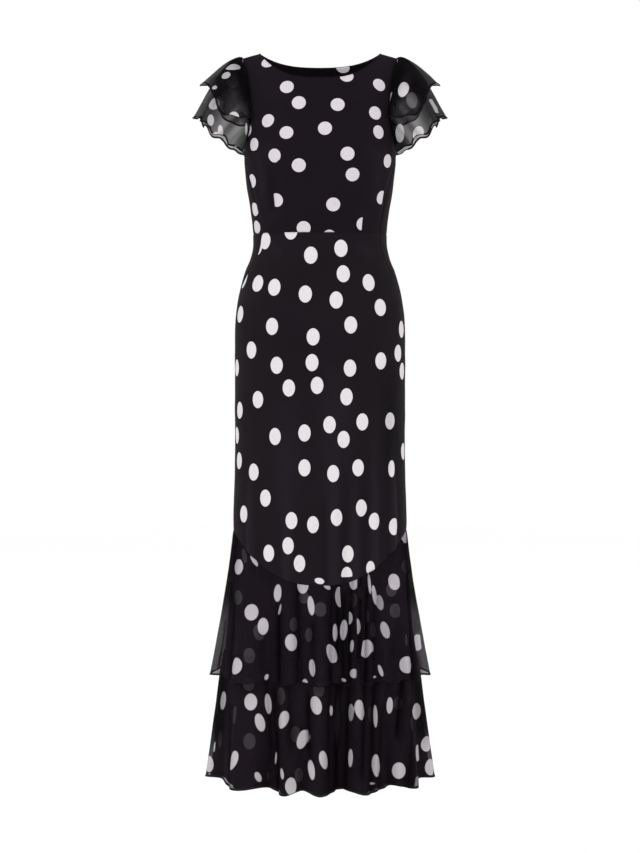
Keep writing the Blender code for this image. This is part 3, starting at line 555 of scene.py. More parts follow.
def smooth(rows, column, at, key="height"):
    """The column's value at each place in `at`, on a smooth curve through the table's rows."""
    rows = sorted(rows, key=lambda row: getattr(row, key))
    xs = np.array([getattr(row, key) for row in rows], float)
    ys = np.array([getattr(row, column) for row in rows], float)
    rise = np.diff(ys) / np.diff(xs)
    slopes = np.concatenate([rise[:1], (rise[:-1] + rise[1:]) / 2, rise[-1:]])
    turns = np.concatenate([[False], rise[:-1] * rise[1:] <= 0, [False]])
    slopes[turns] = 0.0
    at = np.clip(np.asarray(at, float), xs[0], xs[-1])
    i = np.clip(np.searchsorted(xs, at) - 1, 0, len(xs) - 2)
    gap = xs[i + 1] - xs[i]
    t = (at - xs[i]) / gap
    return (
        ys[i] * (1 + 2 * t) * (1 - t) ** 2
        + ys[i + 1] * t**2 * (3 - 2 * t)
        + slopes[i] * gap * t * (1 - t) ** 2
        - slopes[i + 1] * gap * t**2 * (1 - t)
    )


def between(low, high, share):
    return low + (high - low) * share


def eased(share):
    """A share that leaves 0 and reaches 1 gently."""
    return share**2 * (3 - 2 * share)


def metres(units):
    """A length on the print's chart, in metres on the cloth."""
    return units * MM_PER_UNIT / MM_PER_METRE


def unit(vectors):
    return vectors / np.linalg.norm(vectors, axis=-1, keepdims=True)


def shoulder_line(x):
    return -SHOULDER_SLOPE * (np.abs(x) - NECK_POINT_X)


def depth(angle, height):
    """How far the form reaches to the front or back at a height."""
    fore = np.cos(angle) >= 0
    return np.where(fore, smooth(SECTIONS, "front", height), smooth(SECTIONS, "back", height))


def outward(angle, height):
    """The level direction that points straight out of the form."""
    angle, height = np.broadcast_arrays(angle, height)
    wide = smooth(SECTIONS, "half_width", height)
    return unit(
        np.stack([np.sin(angle) * depth(angle, height), -np.cos(angle) * wide, 0 * angle], -1)
    )


def turned(degrees):
    """Degrees brought to the range from -180 to 180."""
    return (degrees + 180) % 360 - 180


def skirt_relief(angle, height):
    """How far the skirt's soft folds move its cloth out."""
    degrees = np.degrees(angle)
    relief = 0 * degrees
    for fold in SKIRT_FOLDS:
        down = np.clip((fold.top - height) / (fold.top - fold.full), 0, 1)
        away = turned(degrees - fold.angle) / fold.width
        ridge = np.exp(-(away**2)) * np.cos(FOLD_SWING * away)
        relief = relief + fold.depth * np.sin(down * math.pi / 2) ** 2 * ridge
    return relief


def crease_relief(creases, angle, height):
    """How far the slighter creases move the cloth, each fading out at both of its ends."""
    degrees = np.degrees(angle)
    relief = 0 * degrees
    for crease in creases:
        round_run = turned(crease.to_angle - crease.from_angle) * DEGREE
        run = np.array([round_run, crease.to_height - crease.from_height])
        x = turned(degrees - crease.from_angle) * DEGREE
        z = height - crease.from_height
        along = (x * run[0] + z * run[1]) / run.dot(run)
        across = (x * run[1] - z * run[0]) / np.linalg.norm(run)
        fade = np.sin(np.clip(along, 0, 1) * math.pi) ** CREASE_POWER
        relief = relief + crease.depth * fade * np.exp(-((across / crease.width) ** 2))
    return relief


def body(angle, height):
    """A point of the worn form, by its angle from the centre front and its height."""
    angle, height = np.broadcast_arrays(angle, height)
    fore = np.cos(angle) >= 0
    power = smooth(SECTIONS, "squareness", height)
    across = np.clip(np.abs(np.sin(angle)), 0, 1)
    fullness = (1 - across**power) ** (1 / power)
    x = smooth(SECTIONS, "half_width", height) * np.sin(angle)
    drop = np.clip((shoulder_line(x) - height) / SHOULDER_ROLL, 0, 1)
    roll = np.sqrt(1 - (1 - drop) ** 2)
    lobe = np.exp(-(((np.abs(x) - BUST_ACROSS) / BUST_WIDTH) ** 2))
    lobe = lobe * np.exp(-(((height - BUST_HEIGHT) / BUST_TALL) ** 2))
    y = np.where(fore, -1, 1) * depth(angle, height) * fullness * roll
    y = y - np.where(fore, BUST_DEPTH * lobe * fullness, 0)
    point = np.stack([x, y, height], -1)
    return point + outward(angle, height) * skirt_relief(angle, height)[..., None]


def bodice(angle, height):
    relief = crease_relief(BODICE_CREASES, angle, height)
    return body(angle, height) + outward(angle, height) * relief[..., None]


def skirt(angle, height):
    relief = crease_relief(SKIRT_CREASES, angle, height)
    return body(angle, height) + outward(angle, height) * relief[..., None]


def tier_seam(angle):
    """Height of the seam that carries the upper tier: high at the sides, low at the centre."""
    return between(TIER_SEAM_CENTRE, TIER_SEAM_SIDE, np.abs(np.sin(angle)) ** TIER_SEAM_SQUARENESS)


def wave(rows, angle):
    return smooth(rows, "out", np.degrees(angle), key="angle")


def lower_hem(angle):
    """Height of the lowest hem, which dips a little where its waves stand out."""
    level = between(LOWER_HEM_CENTRE, LOWER_HEM_SIDE, np.sin(angle) ** 2)
    return level - HEM_DIP * wave(LOWER_TIER_WAVES, angle)


def pleated(rows, angle, share):
    """Narrow folds: the angles pulled in to them, how far in each goes, and where they are, for
    their cover and painted shade.
    """
    degrees, share = np.broadcast_arrays(np.degrees(angle), share)
    middle = 180.0 if rows in (UPPER_BACK_PLEATS, LOWER_BACK_PLEATS) else 0.0
    pull = 0 * degrees
    sink = 0 * degrees
    folds_and_painted_shade = 0 * degrees
    for pleat in rows:
        centre = middle + pleat.angle * (1 + PLEAT_LEAN - 2 * PLEAT_LEAN * share)
        away = turned(degrees - centre) / pleat.width
        fade = np.clip((share - pleat.start) / PLEAT_FADE, 0, 1)
        fade = fade * np.clip((pleat.end - share) / PLEAT_FADE, 0, 1)
        near = np.exp(-(away**2)) * eased(fade)
        pull = pull - PLEAT_PULL * pleat.pinch * away * pleat.width * near
        sink = sink + pleat.depth * near
        folds_and_painted_shade = np.maximum(folds_and_painted_shade, near**PLEAT_SHADE * pleat.pinch)
    return np.radians(degrees + pull), sink, folds_and_painted_shade


def in_trough(relief, full):
    """The share of a fold's painted shade at each point: 1 in a full trough, less than 0 on a
    ridge, where it is a painted highlight.
    """
    return np.clip(-relief / full, RIDGE_LIGHT, 1)


def side_fold(angle, share, end):
    """How much the doubled cloth beside a tier's side seam hides, and its painted shade, down to
    where it spreads out.
    """
    beside = np.clip(SIDE_FOLD_REACH - SIDE_FOLD_STEEPNESS * np.abs(np.cos(angle)), 0, 1)
    return SIDE_FOLD_COVER_AND_PAINTED_SHADE * beside * np.clip((end - share) / SIDE_FOLD_FADE, 0, 1)


def gathers(angle, share, count):
    """Small uneven pleats that leave a gathered seam and soon fade."""
    phase = angle * count
    for drift in GATHER_DRIFTS:
        phase = phase + drift.far * np.sin(angle * drift.often)
    begun = np.clip(share * GATHER_START, 0, 1)
    return GATHER_DEPTH * np.sin(phase) * np.exp(-share * GATHER_FADE) * begun


def stand_out(angle, height, distance):
    """A point that far out of the worn form."""
    return body(angle, height) + outward(angle, height) * distance[..., None]


def straight_underskirt(angle, height):
    """How far the underskirt stands out from the skirt, which keeps it clear of the upper tier."""
    seam = tier_seam(angle)
    down = np.clip((seam - height) / (seam - UPPER_TIER_HEM), 0, 1)
    return -LAYER_GAP + UNDERSKIRT_FLARE * down**UNDERSKIRT_CURVE


def lower_flare(angle, share):
    """How far the lower tier swings out, from its seam (share 0) to its hem (share 1)."""
    return (LOWER_TIER_FLARE + wave(LOWER_TIER_WAVES, angle)) * share**LOWER_TIER_CURVE


def underskirt(angle, height, rows):
    """The underskirt, which under the lower tier is waved as that tier is, less fully."""
    share = np.clip((LOWER_TIER_TOP - height) / (LOWER_TIER_TOP - lower_hem(angle)), 0, 1)
    pinched, sink, _ = pleated(rows, angle, share)
    swing = UNDERSKIRT_FULLNESS * lower_flare(angle, share) - sink * share
    return stand_out(pinched, height, straight_underskirt(angle, height) + swing)


def upper_tier(angle, share, rows):
    pinched, sink, folds_and_painted_shade = pleated(rows, angle, share)
    waves = wave(UPPER_TIER_WAVES, angle)
    height = between(tier_seam(angle), UPPER_TIER_HEM - HEM_DIP * waves, share)
    out = (UPPER_TIER_FLARE + waves) * share**UPPER_TIER_CURVE
    inside = straight_underskirt(pinched, height) + UNDER_TIER
    out = np.maximum(out + gathers(angle, share, UPPER_GATHERS) - sink, inside)
    # Painted shade in the waves' troughs, where the cloth also hides more of what is behind it.
    wave_folds_and_painted_shade = in_trough(waves, WAVE_SHADE)
    return stand_out(pinched, height, out), np.maximum(folds_and_painted_shade, wave_folds_and_painted_shade * share)


def lower_tier(angle, share, rows):
    pinched, sink, folds_and_painted_shade = pleated(rows, angle, share)
    height = between(LOWER_TIER_TOP, lower_hem(angle), share)
    out = straight_underskirt(angle, height) + TIER_GAP + lower_flare(angle, share)
    begun = np.clip(share * PLEAT_START, 0, 1)
    out = out + gathers(angle, share, LOWER_GATHERS) - sink * begun
    # Painted shade in the waves' troughs, where the cloth also hides more of what is behind it.
    wave_folds_and_painted_shade = in_trough(wave(LOWER_TIER_WAVES, angle), WAVE_SHADE)
    return stand_out(pinched, height, out), np.maximum(folds_and_painted_shade, wave_folds_and_painted_shade * share)


def angle_at(x, height, side):
    """The angle at which the form's front or back is x from the centre."""
    wide = smooth(SECTIONS, "half_width", height)
    turn = np.arcsin(np.clip(x / wide, 0, 1))
    return turn if side == "front" else math.pi - turn


def bodice_edges(side):
    """Angles and heights along a half panel's waist, centre, top and outer edges."""
    centre = 0.0 if side == "front" else math.pi
    neck_low = FRONT_NECK if side == "front" else BACK_NECK
    u = np.linspace(0, 1, BODICE_GRID.columns + 1)
    v = np.linspace(0, 1, BODICE_GRID.rows + 1)

    share = np.linspace(0, 1, NECK_COLUMNS + 1)
    neck_height = between(neck_low, 0.0, share**NECK_SQUARENESS)
    neck = (angle_at(NECK_POINT_X * share, neck_height, side), neck_height)
    x = np.linspace(NECK_POINT_X, SHOULDER_POINT_X, SHOULDER_COLUMNS + 1)[1:]
    shoulder = (angle_at(x, shoulder_line(x), side), shoulder_line(x))

    height = np.linspace(WAIST, UNDERARM, SEAM_ROWS + 1)
    seam = (np.radians(smooth(SIDE_SEAM, "angle", height)), height)
    share = np.linspace(0, 1, BODICE_GRID.rows - SEAM_ROWS + 1)[1:]
    height = between(UNDERARM, shoulder_line(SHOULDER_POINT_X), np.sin(share * math.pi / 2))
    armhole = (angle_at(smooth(ARMHOLE, side, height), height, side), height)

    waist = (between(centre, seam[0][0], u), WAIST + 0 * u)
    middle = (centre + 0 * v, between(WAIST, neck_low, v))
    top = tuple(np.concatenate(pair) for pair in zip(neck, shoulder))
    outer = tuple(np.concatenate(pair) for pair in zip(seam, armhole))
    return zip(waist, middle, top, outer)


def bodice_grid(side):
    """Angles and heights of half a bodice panel, blended between its four edges."""
    u = np.linspace(0, 1, BODICE_GRID.columns + 1)[None, :]
    v = np.linspace(0, 1, BODICE_GRID.rows + 1)[:, None]
    grid = []
    for waist, middle, top, outer in bodice_edges(side):
        ruled = (1 - v) * waist[None, :] + v * top[None, :]
        ruled = ruled + (1 - u) * middle[:, None] + u * outer[:, None]
        lower = (1 - u) * waist[0] + u * waist[-1]
        upper = (1 - u) * top[0] + u * top[-1]
        grid.append(ruled - (1 - v) * lower - v * upper)
    return grid


def skirt_grid(start, end, grid):
    """Angles and heights of a skirt panel, between two of the skirt's four upright seams."""
    v = np.linspace(0, 1, grid.rows + 1)[:, None]
    seam = np.radians(smooth(SIDE_SEAM, "angle", between(WAIST, TIER_SEAM_SIDE, v)))
    sides = {"right": -seam, "left": seam, "back": math.pi + 0 * seam, "past": 2 * math.pi - seam}
    u = np.linspace(0, 1, grid.columns + 1)[None, :]
    angle = between(sides[start], sides[end], u)
    return angle, between(WAIST, tier_seam(angle), v)


def half_round(half, columns):
    start = -math.pi / 2 if half == "front" else math.pi / 2
    return start + math.pi * np.linspace(0, 1, columns + 1)[None, :]


def armhole_point(turn, lift):
    """A point over the armhole's edge. The turn is 0 at the shoulder and positive to the front."""
    share = np.sin((1 - np.abs(turn) / math.pi) * math.pi / 2)
    height = between(UNDERARM, shoulder_line(SHOULDER_POINT_X), share)
    front = angle_at(smooth(ARMHOLE, "front", height), height, "front")
    back = angle_at(smooth(ARMHOLE, "back", height), height, "back")
    angle = np.where(turn >= 0, front, back)
    around = body(angle + STEP, height) - body(angle - STEP, height)
    up = body(angle, height + STEP) - body(angle, height - STEP)
    return body(angle, height) + unit(np.cross(around, up)) * lift


def sleeve_root(turn):
    return armhole_point(turn, SLEEVE_SEAM_LIFT)


def sleeve_hem(turn):
    tip = np.array([SLEEVE_TIP[0], 0, SLEEVE_TIP[1]])
    underarm = np.array([SLEEVE_UNDERARM[0], 0, SLEEVE_UNDERARM[1]])
    middle = (tip + underarm) / 2
    fore = np.array([0, -SLEEVE_FORE_AFT, 0])
    swing = np.sign(turn) * np.abs(np.sin(turn)) ** SLEEVE_ROUNDING
    sag = np.array([0, 0, -SLEEVE_SAG]) * np.sin(turn)[..., None] ** 2
    return middle + (tip - middle) * np.cos(turn)[..., None] + fore * swing[..., None] + sag


def sleeve_out(turn):
    """The direction in which the sleeve's cloth lifts off the straight line to its hem."""
    fall = sleeve_hem(turn) - sleeve_root(turn)
    round_hem = sleeve_hem(turn + STEP) - sleeve_hem(turn - STEP)
    return unit(np.cross(round_hem, fall))


def ragged(turn, start):
    """How far the cut edge of a fluttering hem falls long or short, as a share of its length."""
    swing = np.sin(RAGS * turn + start)
    swing = swing + SECOND_RAG * np.sin(RAGS * SECOND_RAGS * turn + 2 * start)
    return 1 + RAG * swing * np.clip(np.cos(turn / 2) * RAG_FADE, 0, 1)


def sleeve(turn, share):
    """A point of the left sleeve, from the armhole seam (share 0) to the hem (share 1)."""
    turn, share = np.broadcast_arrays(turn, share)
    out = sleeve_out(turn)
    share = share * ragged(turn, SLEEVE_RAG_START)
    line = between(sleeve_root(turn), sleeve_hem(turn), share[..., None])
    fade = np.cos(np.clip(turn, -math.pi, math.pi) / 2)
    down = np.clip(share, 0, 1)
    lift = SLEEVE_BULGE * np.sin(math.pi * down**SLEEVE_BULGE_POWER) * fade
    ripple = SLEEVE_WAVE * np.cos(turn * SLEEVE_WAVES) * down**FLUTTER_POWER * fade
    return line + out * (lift + ripple)[..., None]


def frill(turn, share):
    """A point of the shorter frill, which is the sleeve's points moved out."""
    turn, share = np.broadcast_arrays(turn, share)
    degrees = np.abs(np.degrees(turn))
    length = smooth(FRILL_LENGTHS, "share", degrees, key="turn")
    inside = 1 - np.clip(degrees / FRILL_REACH, 0, 1) ** FRILL_END_POWER
    ripple = FRILL_WAVE * (1 + np.cos(turn * FRILL_WAVES)) / 2
    swing = (FRILL_LIFT + ripple) * np.clip(share, 0, 1) ** FLUTTER_POWER
    lift = FRILL_GAP + swing * between(FRILL_END_LIFT, 1.0, inside)
    long = length * ragged(turn, FRILL_RAG_START)
    return sleeve(turn, share * long) + sleeve_out(turn) * lift[..., None]


def pleated_sleeve(surface, rows, turn, share):
    """A sleeve or frill with narrow folds that run out from the armhole, and where those are, for
    their cover and painted shade.
    """
    pinched, sink, folds_and_painted_shade = pleated(rows, turn, share)
    sink = sink * np.clip(share * SLEEVE_PLEAT_START, 0, 1)
    return surface(pinched, share) - sleeve_out(pinched) * sink[..., None], folds_and_painted_shade


def make_camera():
    """A camera far off in front, so that the dress has little perspective."""
    data = bpy.data.cameras.new("camera")
    data.sensor_fit = "HORIZONTAL"
    data.lens = data.sensor_width * CAMERA_DISTANCE * MM_PER_METRE / (CHART_SIZE[0] * MM_PER_UNIT)
    camera = bpy.data.objects.new("camera", data)
    camera.location = CAMERA_PLACE
    camera.rotation_euler = (math.pi / 2 - CAMERA_TILT, 0, 0)
    bpy.context.collection.objects.link(camera)
    bpy.context.scene.camera = camera


def chart(points):
    """Where the camera sees points, in the print chart's units across and down."""
    away = points - np.array(CAMERA_PLACE)
    ahead = away[..., 1] * math.cos(CAMERA_TILT) - away[..., 2] * math.sin(CAMERA_TILT)
    up = away[..., 1] * math.sin(CAMERA_TILT) + away[..., 2] * math.cos(CAMERA_TILT)
    scale = CAMERA_DISTANCE * MM_PER_METRE / MM_PER_UNIT / ahead
    return CHART_CENTRE + away[..., 0] * scale, CHART_SIZE[1] / 2 - up * scale


def normals(points, outside):
    """Unit normals of a grid of points, all on the side that the outside directions are on."""
    across = np.gradient(points, axis=1)
    down = np.gradient(points, axis=0)
    normal = unit(np.cross(across, down) + TINY_FACE)
    return normal * (1 if (normal * outside).sum() > 0 else -1)


def millimetres_from(points, lines):
    """How far each point is from the nearest of some lines of points."""
    nearest = np.full(points.shape[:-1], FAR)
    flat = points.reshape(-1, 1, 3)
    for line in lines:
        line = np.concatenate([line[: -1 : max(1, len(line) // LINE_STEPS)], line[-1:]])
        steps = np.diff(line, axis=0)
        gap = flat - line[:-1]
        share = (gap * steps).sum(-1) / np.maximum((steps**2).sum(-1), TINY)
        gap = gap - np.clip(share, 0, 1)[..., None] * steps
        distance = np.sqrt((gap**2).sum(-1).min(1)) * MM_PER_METRE
        nearest = np.minimum(nearest, distance.reshape(nearest.shape))
    return nearest


def unevenness(points):
    """A faint, uneven swell that stops a panel looking like a machined surface."""
    swells = []
    for ripples in (BROAD_RIPPLES, FINE_RIPPLES):
        swell = 1.0
        for ripple in ripples:
            swell = swell * np.sin(points @ np.array(ripple[:3], float) + ripple.start)
        swells.append(swell)
    return UNEVEN * (swells[0] + FINE_SHARE * swells[1])


def dot_centres(name, points, normal, outside, size):
    """Each dot of a piece: its centre, its level and upright directions, and its two radii."""
    across, down = chart(points)
    toward = unit(np.array(CAMERA_PLACE) - points)
    facing = (normal * toward).sum(-1)
    level = unit(np.cross((0, 0, 1), normal) + TINY)
    upright = np.cross(normal, level)
    dots = []
    for dot in PRINT.get(name, ()):
        off = np.hypot(across - dot.x, down - dot.y)
        in_front = np.where(facing > 0, off, FAR)
        nearest = in_front if in_front.min() < CHART_SLACK else off
        at = np.unravel_index(nearest.argmin(), off.shape)
        shift = metres(np.array([dot.x - across[at], 0, down[at] - dot.y]))
        turn = math.radians(dot.tilt)
        sideways = level[at] * math.cos(turn) + upright[at] * math.sin(turn)
        lengthways = upright[at] * math.cos(turn) - level[at] * math.sin(turn)
        narrowing = SKIRT_DOT_NARROWING * (dot.y - SKIRT_DOT_TOP) if size is SKIRT_DOT else 0
        wide = metres(dot.wide or size.wide - narrowing) / 2
        tall = metres(dot.tall or size.tall) / 2
        cuts = (metres(dot.left), metres(dot.right))
        dots.append((points[at] + shift, sideways, lengthways, wide, tall, cuts, dot.tone))
    charted = np.maximum((outside * toward).sum(-1), facing) > CHARTED
    charted |= (down < INSIDE_NECK) & (np.abs(points[..., 0]) < NECK_POINT_X)
    charted |= points[..., 2] > shoulder_line(points[..., 0]) - SHOULDER_MARGIN
    order = np.random.default_rng(PRINT_SEED + len(name)).permutation(charted.size)
    for number in order:
        at = np.unravel_index(number, charted.shape)
        if charted[at]:
            continue
        if all(np.linalg.norm(points[at] - dot[0]) > DOT_SPACING for dot in dots):
            wide, tall = metres(size.wide) / 2, metres(size.tall) / 2
            dots.append((points[at], level[at], upright[at], wide, tall, UNCUT, 1))
    return dots


def dot_field(name, points, normal, outside, size):
    """Millimetres to the nearest dot's edge, less than zero inside it, and that dot's painted light
    and shade.
    """
    field = np.full(points.shape[:-1], FAR)
    dot_painted_light_and_shade = np.ones(points.shape[:-1])
    for centre, level, upright, wide, tall, (left, right), tone in dot_centres(
        name, points, normal, outside, size
    ):
        away = points - centre
        sideways = away @ level
        lengthways = away @ upright
        beside = away @ np.cross(level, upright)
        reach = (sideways / wide) ** 2 + (lengthways / tall) ** 2 + (beside / tall) ** 2
        reach = np.sqrt(reach)
        edge = (reach - 1) * min(wide, tall)
        edge = np.maximum(edge, np.maximum(-sideways - left, sideways - right))
        dot_painted_light_and_shade = np.where(edge * MM_PER_METRE < field, tone, dot_painted_light_and_shade)
        field = np.minimum(field, edge * MM_PER_METRE)
    return field, dot_painted_light_and_shade


def cloth(name, points, finish, dots, seams=(), hems=(), folds_and_painted_shade=0.0, tube=False, mirrored=False):
    """One cloth piece from a grid of points, with its print, seams, hems, folds, and painted light
    and shade kept at its points.
    """
    if mirrored:
        points = points * MIRROR
        seams = [line * MIRROR for line in seams]
        hems = [line * MIRROR for line in hems]
    axis = points.mean(axis=1, keepdims=True) if tube else points * (0, 0, 1)
    outside = unit(points - axis)
    normal = normals(points, outside)
    seam = millimetres_from(points, seams)
    hem = millimetres_from(points, hems)
    groove = SEAM_GROOVE * np.exp(-((seam / SEAM_REACH) ** 2))
    relief = unevenness(points) * np.clip(seam / FLAT_BY_SEAM, 0, 1) - groove
    points = points + normal * relief[..., None]
    rows, columns = points.shape[:2]
    index = np.arange(rows * columns).reshape(rows, columns)
    corners = [index[:-1, :-1], index[:-1, 1:], index[1:, 1:], index[1:, :-1]]
    if (np.cross(points[0, 1] - points[0, 0], points[1, 0] - points[0, 0]) @ normal[0, 0]) < 0:
        corners.reverse()
    quads = np.stack(corners, -1).reshape(-1, 4)
    mesh = bpy.data.meshes.new(name)
    mesh.from_pydata(points.reshape(-1, 3).tolist(), [], quads.tolist())
    dot, dot_painted_light_and_shade = dot_field(name, points, normal, outside, dots)
    for label, field in (
        ("dot", dot),
        ("tone", dot_painted_light_and_shade),
        ("seam", seam),
        ("hem", hem),
        ("folds_and_painted_shade", folds_and_painted_shade + 0 * hem),
    ):
        kept = mesh.attributes.new(label, "FLOAT", "POINT")
        kept.data.foreach_set("value", field.reshape(-1).astype(np.float32))
    along = np.linalg.norm(np.diff(points, axis=1), axis=-1).cumsum(axis=1)
    along = np.concatenate([np.zeros((rows, 1)), along], axis=1)
    along = along - along[:, columns // 2, None]
    down = np.linalg.norm(np.diff(points, axis=0), axis=-1).cumsum(axis=0)
    down = np.concatenate([np.zeros((1, columns)), down], axis=0)
    weave = np.stack([along, down], -1).reshape(-1, 2)
    mesh.uv_layers.new(name="weave").data.foreach_set("uv", weave[quads.reshape(-1)].reshape(-1))
    mesh.shade_smooth()
    mesh.materials.append(finish)
    piece = bpy.data.objects.new(name + "_cloth", mesh)
    bpy.context.collection.objects.link(piece)
    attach(piece, "dress")
    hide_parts(name)
    return piece


def give_thickness(piece):
    """A real thickness inwards, for the cloth that isn't sheer."""
    shell = piece.modifiers.new("thickness", "SOLIDIFY")
    shell.thickness = CLOTH
    shell.offset = -1


def roll(name, points, radius, finish, mirrored=False):
    """A thin rolled edge along a hem or an opening."""
    if mirrored:
        points = points * MIRROR
    curve = bpy.data.curves.new(name, "CURVE")
    curve.dimensions = "3D"
    curve.bevel_depth = radius
    curve.bevel_resolution = 2
    curve.use_fill_caps = True
    path = curve.splines.new("POLY")
    path.points.add(len(points) - 1)
    weighted = np.concatenate([points, np.ones((len(points), 1))], axis=1)
    path.points.foreach_set("co", weighted.reshape(-1))
    curve.materials.append(finish)
    piece = bpy.data.objects.new(name, curve)
    bpy.context.collection.objects.link(piece)
    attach(piece, "dress")
    return piece


class Nodes:
    """Short calls for laying out one material's nodes. Numbers or sockets feed most of them."""

    def __init__(self, name):
        self.material = bpy.data.materials.new(name)
        self.material.use_nodes = True
        self.tree = self.material.node_tree
        self.shader = self.tree.nodes["Principled BSDF"]

    def add(self, kind, **settings):
        node = self.tree.nodes.new("ShaderNode" + kind)
        for key, value in settings.items():
            setattr(node, key, value)
        return node

    def link(self, source, target):
        self.tree.links.new(source, target)

    def feed(self, socket, value):
        if isinstance(value, bpy.types.NodeSocket):
            self.link(value, socket)
        else:
            socket.default_value = value

    def field(self, label):
        return self.add("Attribute", attribute_name=label).outputs["Fac"]

    def maths(self, operation, *values):
        node = self.add("Math", operation=operation)
        for socket, value in zip(node.inputs, values):
            self.feed(socket, value)
        return node.outputs[0]

    def ramp(self, value, low, high, from_value=0.0, to_value=1.0, kind="SMOOTHSTEP"):
        node = self.add("MapRange", interpolation_type=kind)
        self.feed(node.inputs["Value"], value)
        for label, number in (("From Min", low), ("From Max", high)):
            node.inputs[label].default_value = number
        self.feed(node.inputs["To Min"], from_value)
        self.feed(node.inputs["To Max"], to_value)
        return node.outputs["Result"]

    def mix(self, share, first, second):
        node = self.add("Mix", data_type="RGBA")
        self.feed(node.inputs["Factor"], share)
        self.feed(node.inputs["A"], first)
        self.feed(node.inputs["B"], second)
        return node.outputs["Result"]

    def scaled(self, colour, share):
        node = self.add("VectorMath", operation="SCALE")
        self.link(colour, node.inputs[0])
        self.feed(node.inputs["Scale"], share)
        return node.outputs[0]

    def noise(self, place, scale, detail=2.0, roughness=0.5):
        node = self.add("TexNoise")
        self.link(place, node.inputs["Vector"])
        node.inputs["Scale"].default_value = scale
        node.inputs["Detail"].default_value = detail
        node.inputs["Roughness"].default_value = roughness
        return node.outputs["Fac"]

    def bump(self, height, distance, strength=1.0, under=None):
        node = self.add("Bump")
        self.feed(node.inputs["Height"], height)
        node.inputs["Distance"].default_value = distance
        node.inputs["Strength"].default_value = strength
        if under is not None:
            self.link(under, node.inputs["Normal"])
        return node.outputs["Normal"]


# The twist of crepe yarn: how fine it is, and how far it moves a thread, as a share of the pitch.
TWIST_SCALE = 320.0
TWIST = 1.2


def threads(nodes, place, pitch):
    """Crossing threads of a plain weave, from 0 to 1, with the twist of crepe yarn."""
    axes = nodes.add("SeparateXYZ")
    nodes.link(place, axes.inputs[0])
    wobble = nodes.maths("MULTIPLY", nodes.noise(place, TWIST_SCALE), pitch * TWIST)
    rays = []
    for axis in ("X", "Y"):
        turned_by = nodes.maths("ADD", axes.outputs[axis], wobble)
        phase = nodes.maths("MULTIPLY", turned_by, math.tau / pitch)
        rays.append(nodes.maths("SINE", phase))
    woven = nodes.maths("MULTIPLY", rays[0], rays[1])
    return nodes.maths("MULTIPLY_ADD", woven, 0.5, 0.5)


# Stitches, in metres along and in millimetres from their seam or hem, where a stitch's side ends,
# and from which part of its beat it rises.
STITCH_LENGTH = 0.0025
STITCH_FROM_SEAM = 1.8
STITCH_FROM_HEM = 2.4
STITCH_EDGE = (0.15, 0.5)
STITCH_BEAT = (-0.5, 0.2)

# How far the threads and a broad unevenness lighten the black, how dull a dot's yarn is in places,
# how bright the black is painted from a painted highlight on a ridge to painted shade in a full
# fold, and how bright a dot is painted in the painted shade of a full fold.
THREAD_SHARE = 0.45
BROAD_SHARE = 0.5
DOT_FADE = 0.86
BLACK_PAINTED_RIDGE_TO_FOLD = (1.85, 0.12)
DOT_PAINTED_FOLD_SHADE = 0.5

# How fine the cloth's crinkle, its broad unevenness and the fraying of a dot's edge are.
CRINKLE_SCALE = 420.0
BROAD_SCALE = 9.0
FRAY_SCALE = 900.0

# How far a dot's edge frays, half the width over which it ends, and how soon a hem's fold ends,
# all in millimetres.
DOT_FRAY = 0.5
DOT_EDGE = 0.30
HEM_EDGE = 0.6

# How rough the cloth is in its crinkles' hollows and on their crests, and how far its cover
# changes from the gaps between the threads to the threads.
ROUGHNESS = (0.80, 0.95)
COVER_SPREAD = 0.05

# How a cloth looks: the colours of its black, its raised threads and its dots, its gloss, and the
# metres between its threads. Cover is how much of what is behind it each part of it hides.
Look = namedtuple(
    "Look",
    "cloth thread dot shine pitch cover fold_cover dot_cover hem_cover hem_depth",
    defaults=(1, 1, 1, 1, 2.6),
)
# The three crepes are one cloth: the differences between their blacks, threads and dots are painted
# light and shade.
CREPE_TOP = Look(
    cloth=(0.0040, 0.0026, 0.0044),
    thread=(0.0115, 0.0078, 0.0118),
    dot=(0.610, 0.570, 0.600),
    shine=0.058,
    pitch=0.0007,
)
CREPE_SKIRT = Look(
    cloth=(0.0058, 0.0042, 0.0060),
    thread=(0.0125, 0.0093, 0.0125),
    dot=(0.680, 0.650, 0.668),
    shine=0.058,
    pitch=0.0007,
)
CREPE_UNDER = Look(
    cloth=(0.0030, 0.0022, 0.0032),
    thread=(0.0060, 0.0045, 0.0060),
    dot=(0.560, 0.530, 0.560),
    shine=0.058,
    pitch=0.0007,
)
CHIFFON_SLEEVE = Look(
    cloth=(0.0055, 0.0040, 0.0057),
    thread=(0.0120, 0.0090, 0.0120),
    dot=(0.640, 0.610, 0.640),
    shine=0.030,
    pitch=0.0005,
    cover=0.47,
    fold_cover=0.98,
    dot_cover=0.92,
    hem_cover=0.98,
)
CHIFFON_UPPER = Look(
    cloth=(0.0092, 0.0066, 0.0098),
    thread=(0.0170, 0.0124, 0.0176),
    dot=(0.530, 0.490, 0.530),
    shine=0.012,
    pitch=0.0005,
    cover=0.76,
    fold_cover=0.97,
    dot_cover=0.86,
    hem_cover=0.99,
)
CHIFFON_LOWER = Look(
    cloth=(0.0096, 0.0070, 0.0100),
    thread=(0.0172, 0.0126, 0.0176),
    dot=(0.520, 0.490, 0.505),
    shine=0.012,
    pitch=0.0005,
    cover=0.78,
    fold_cover=0.97,
    dot_cover=0.90,
    hem_cover=0.99,
    hem_depth=3.4,
)


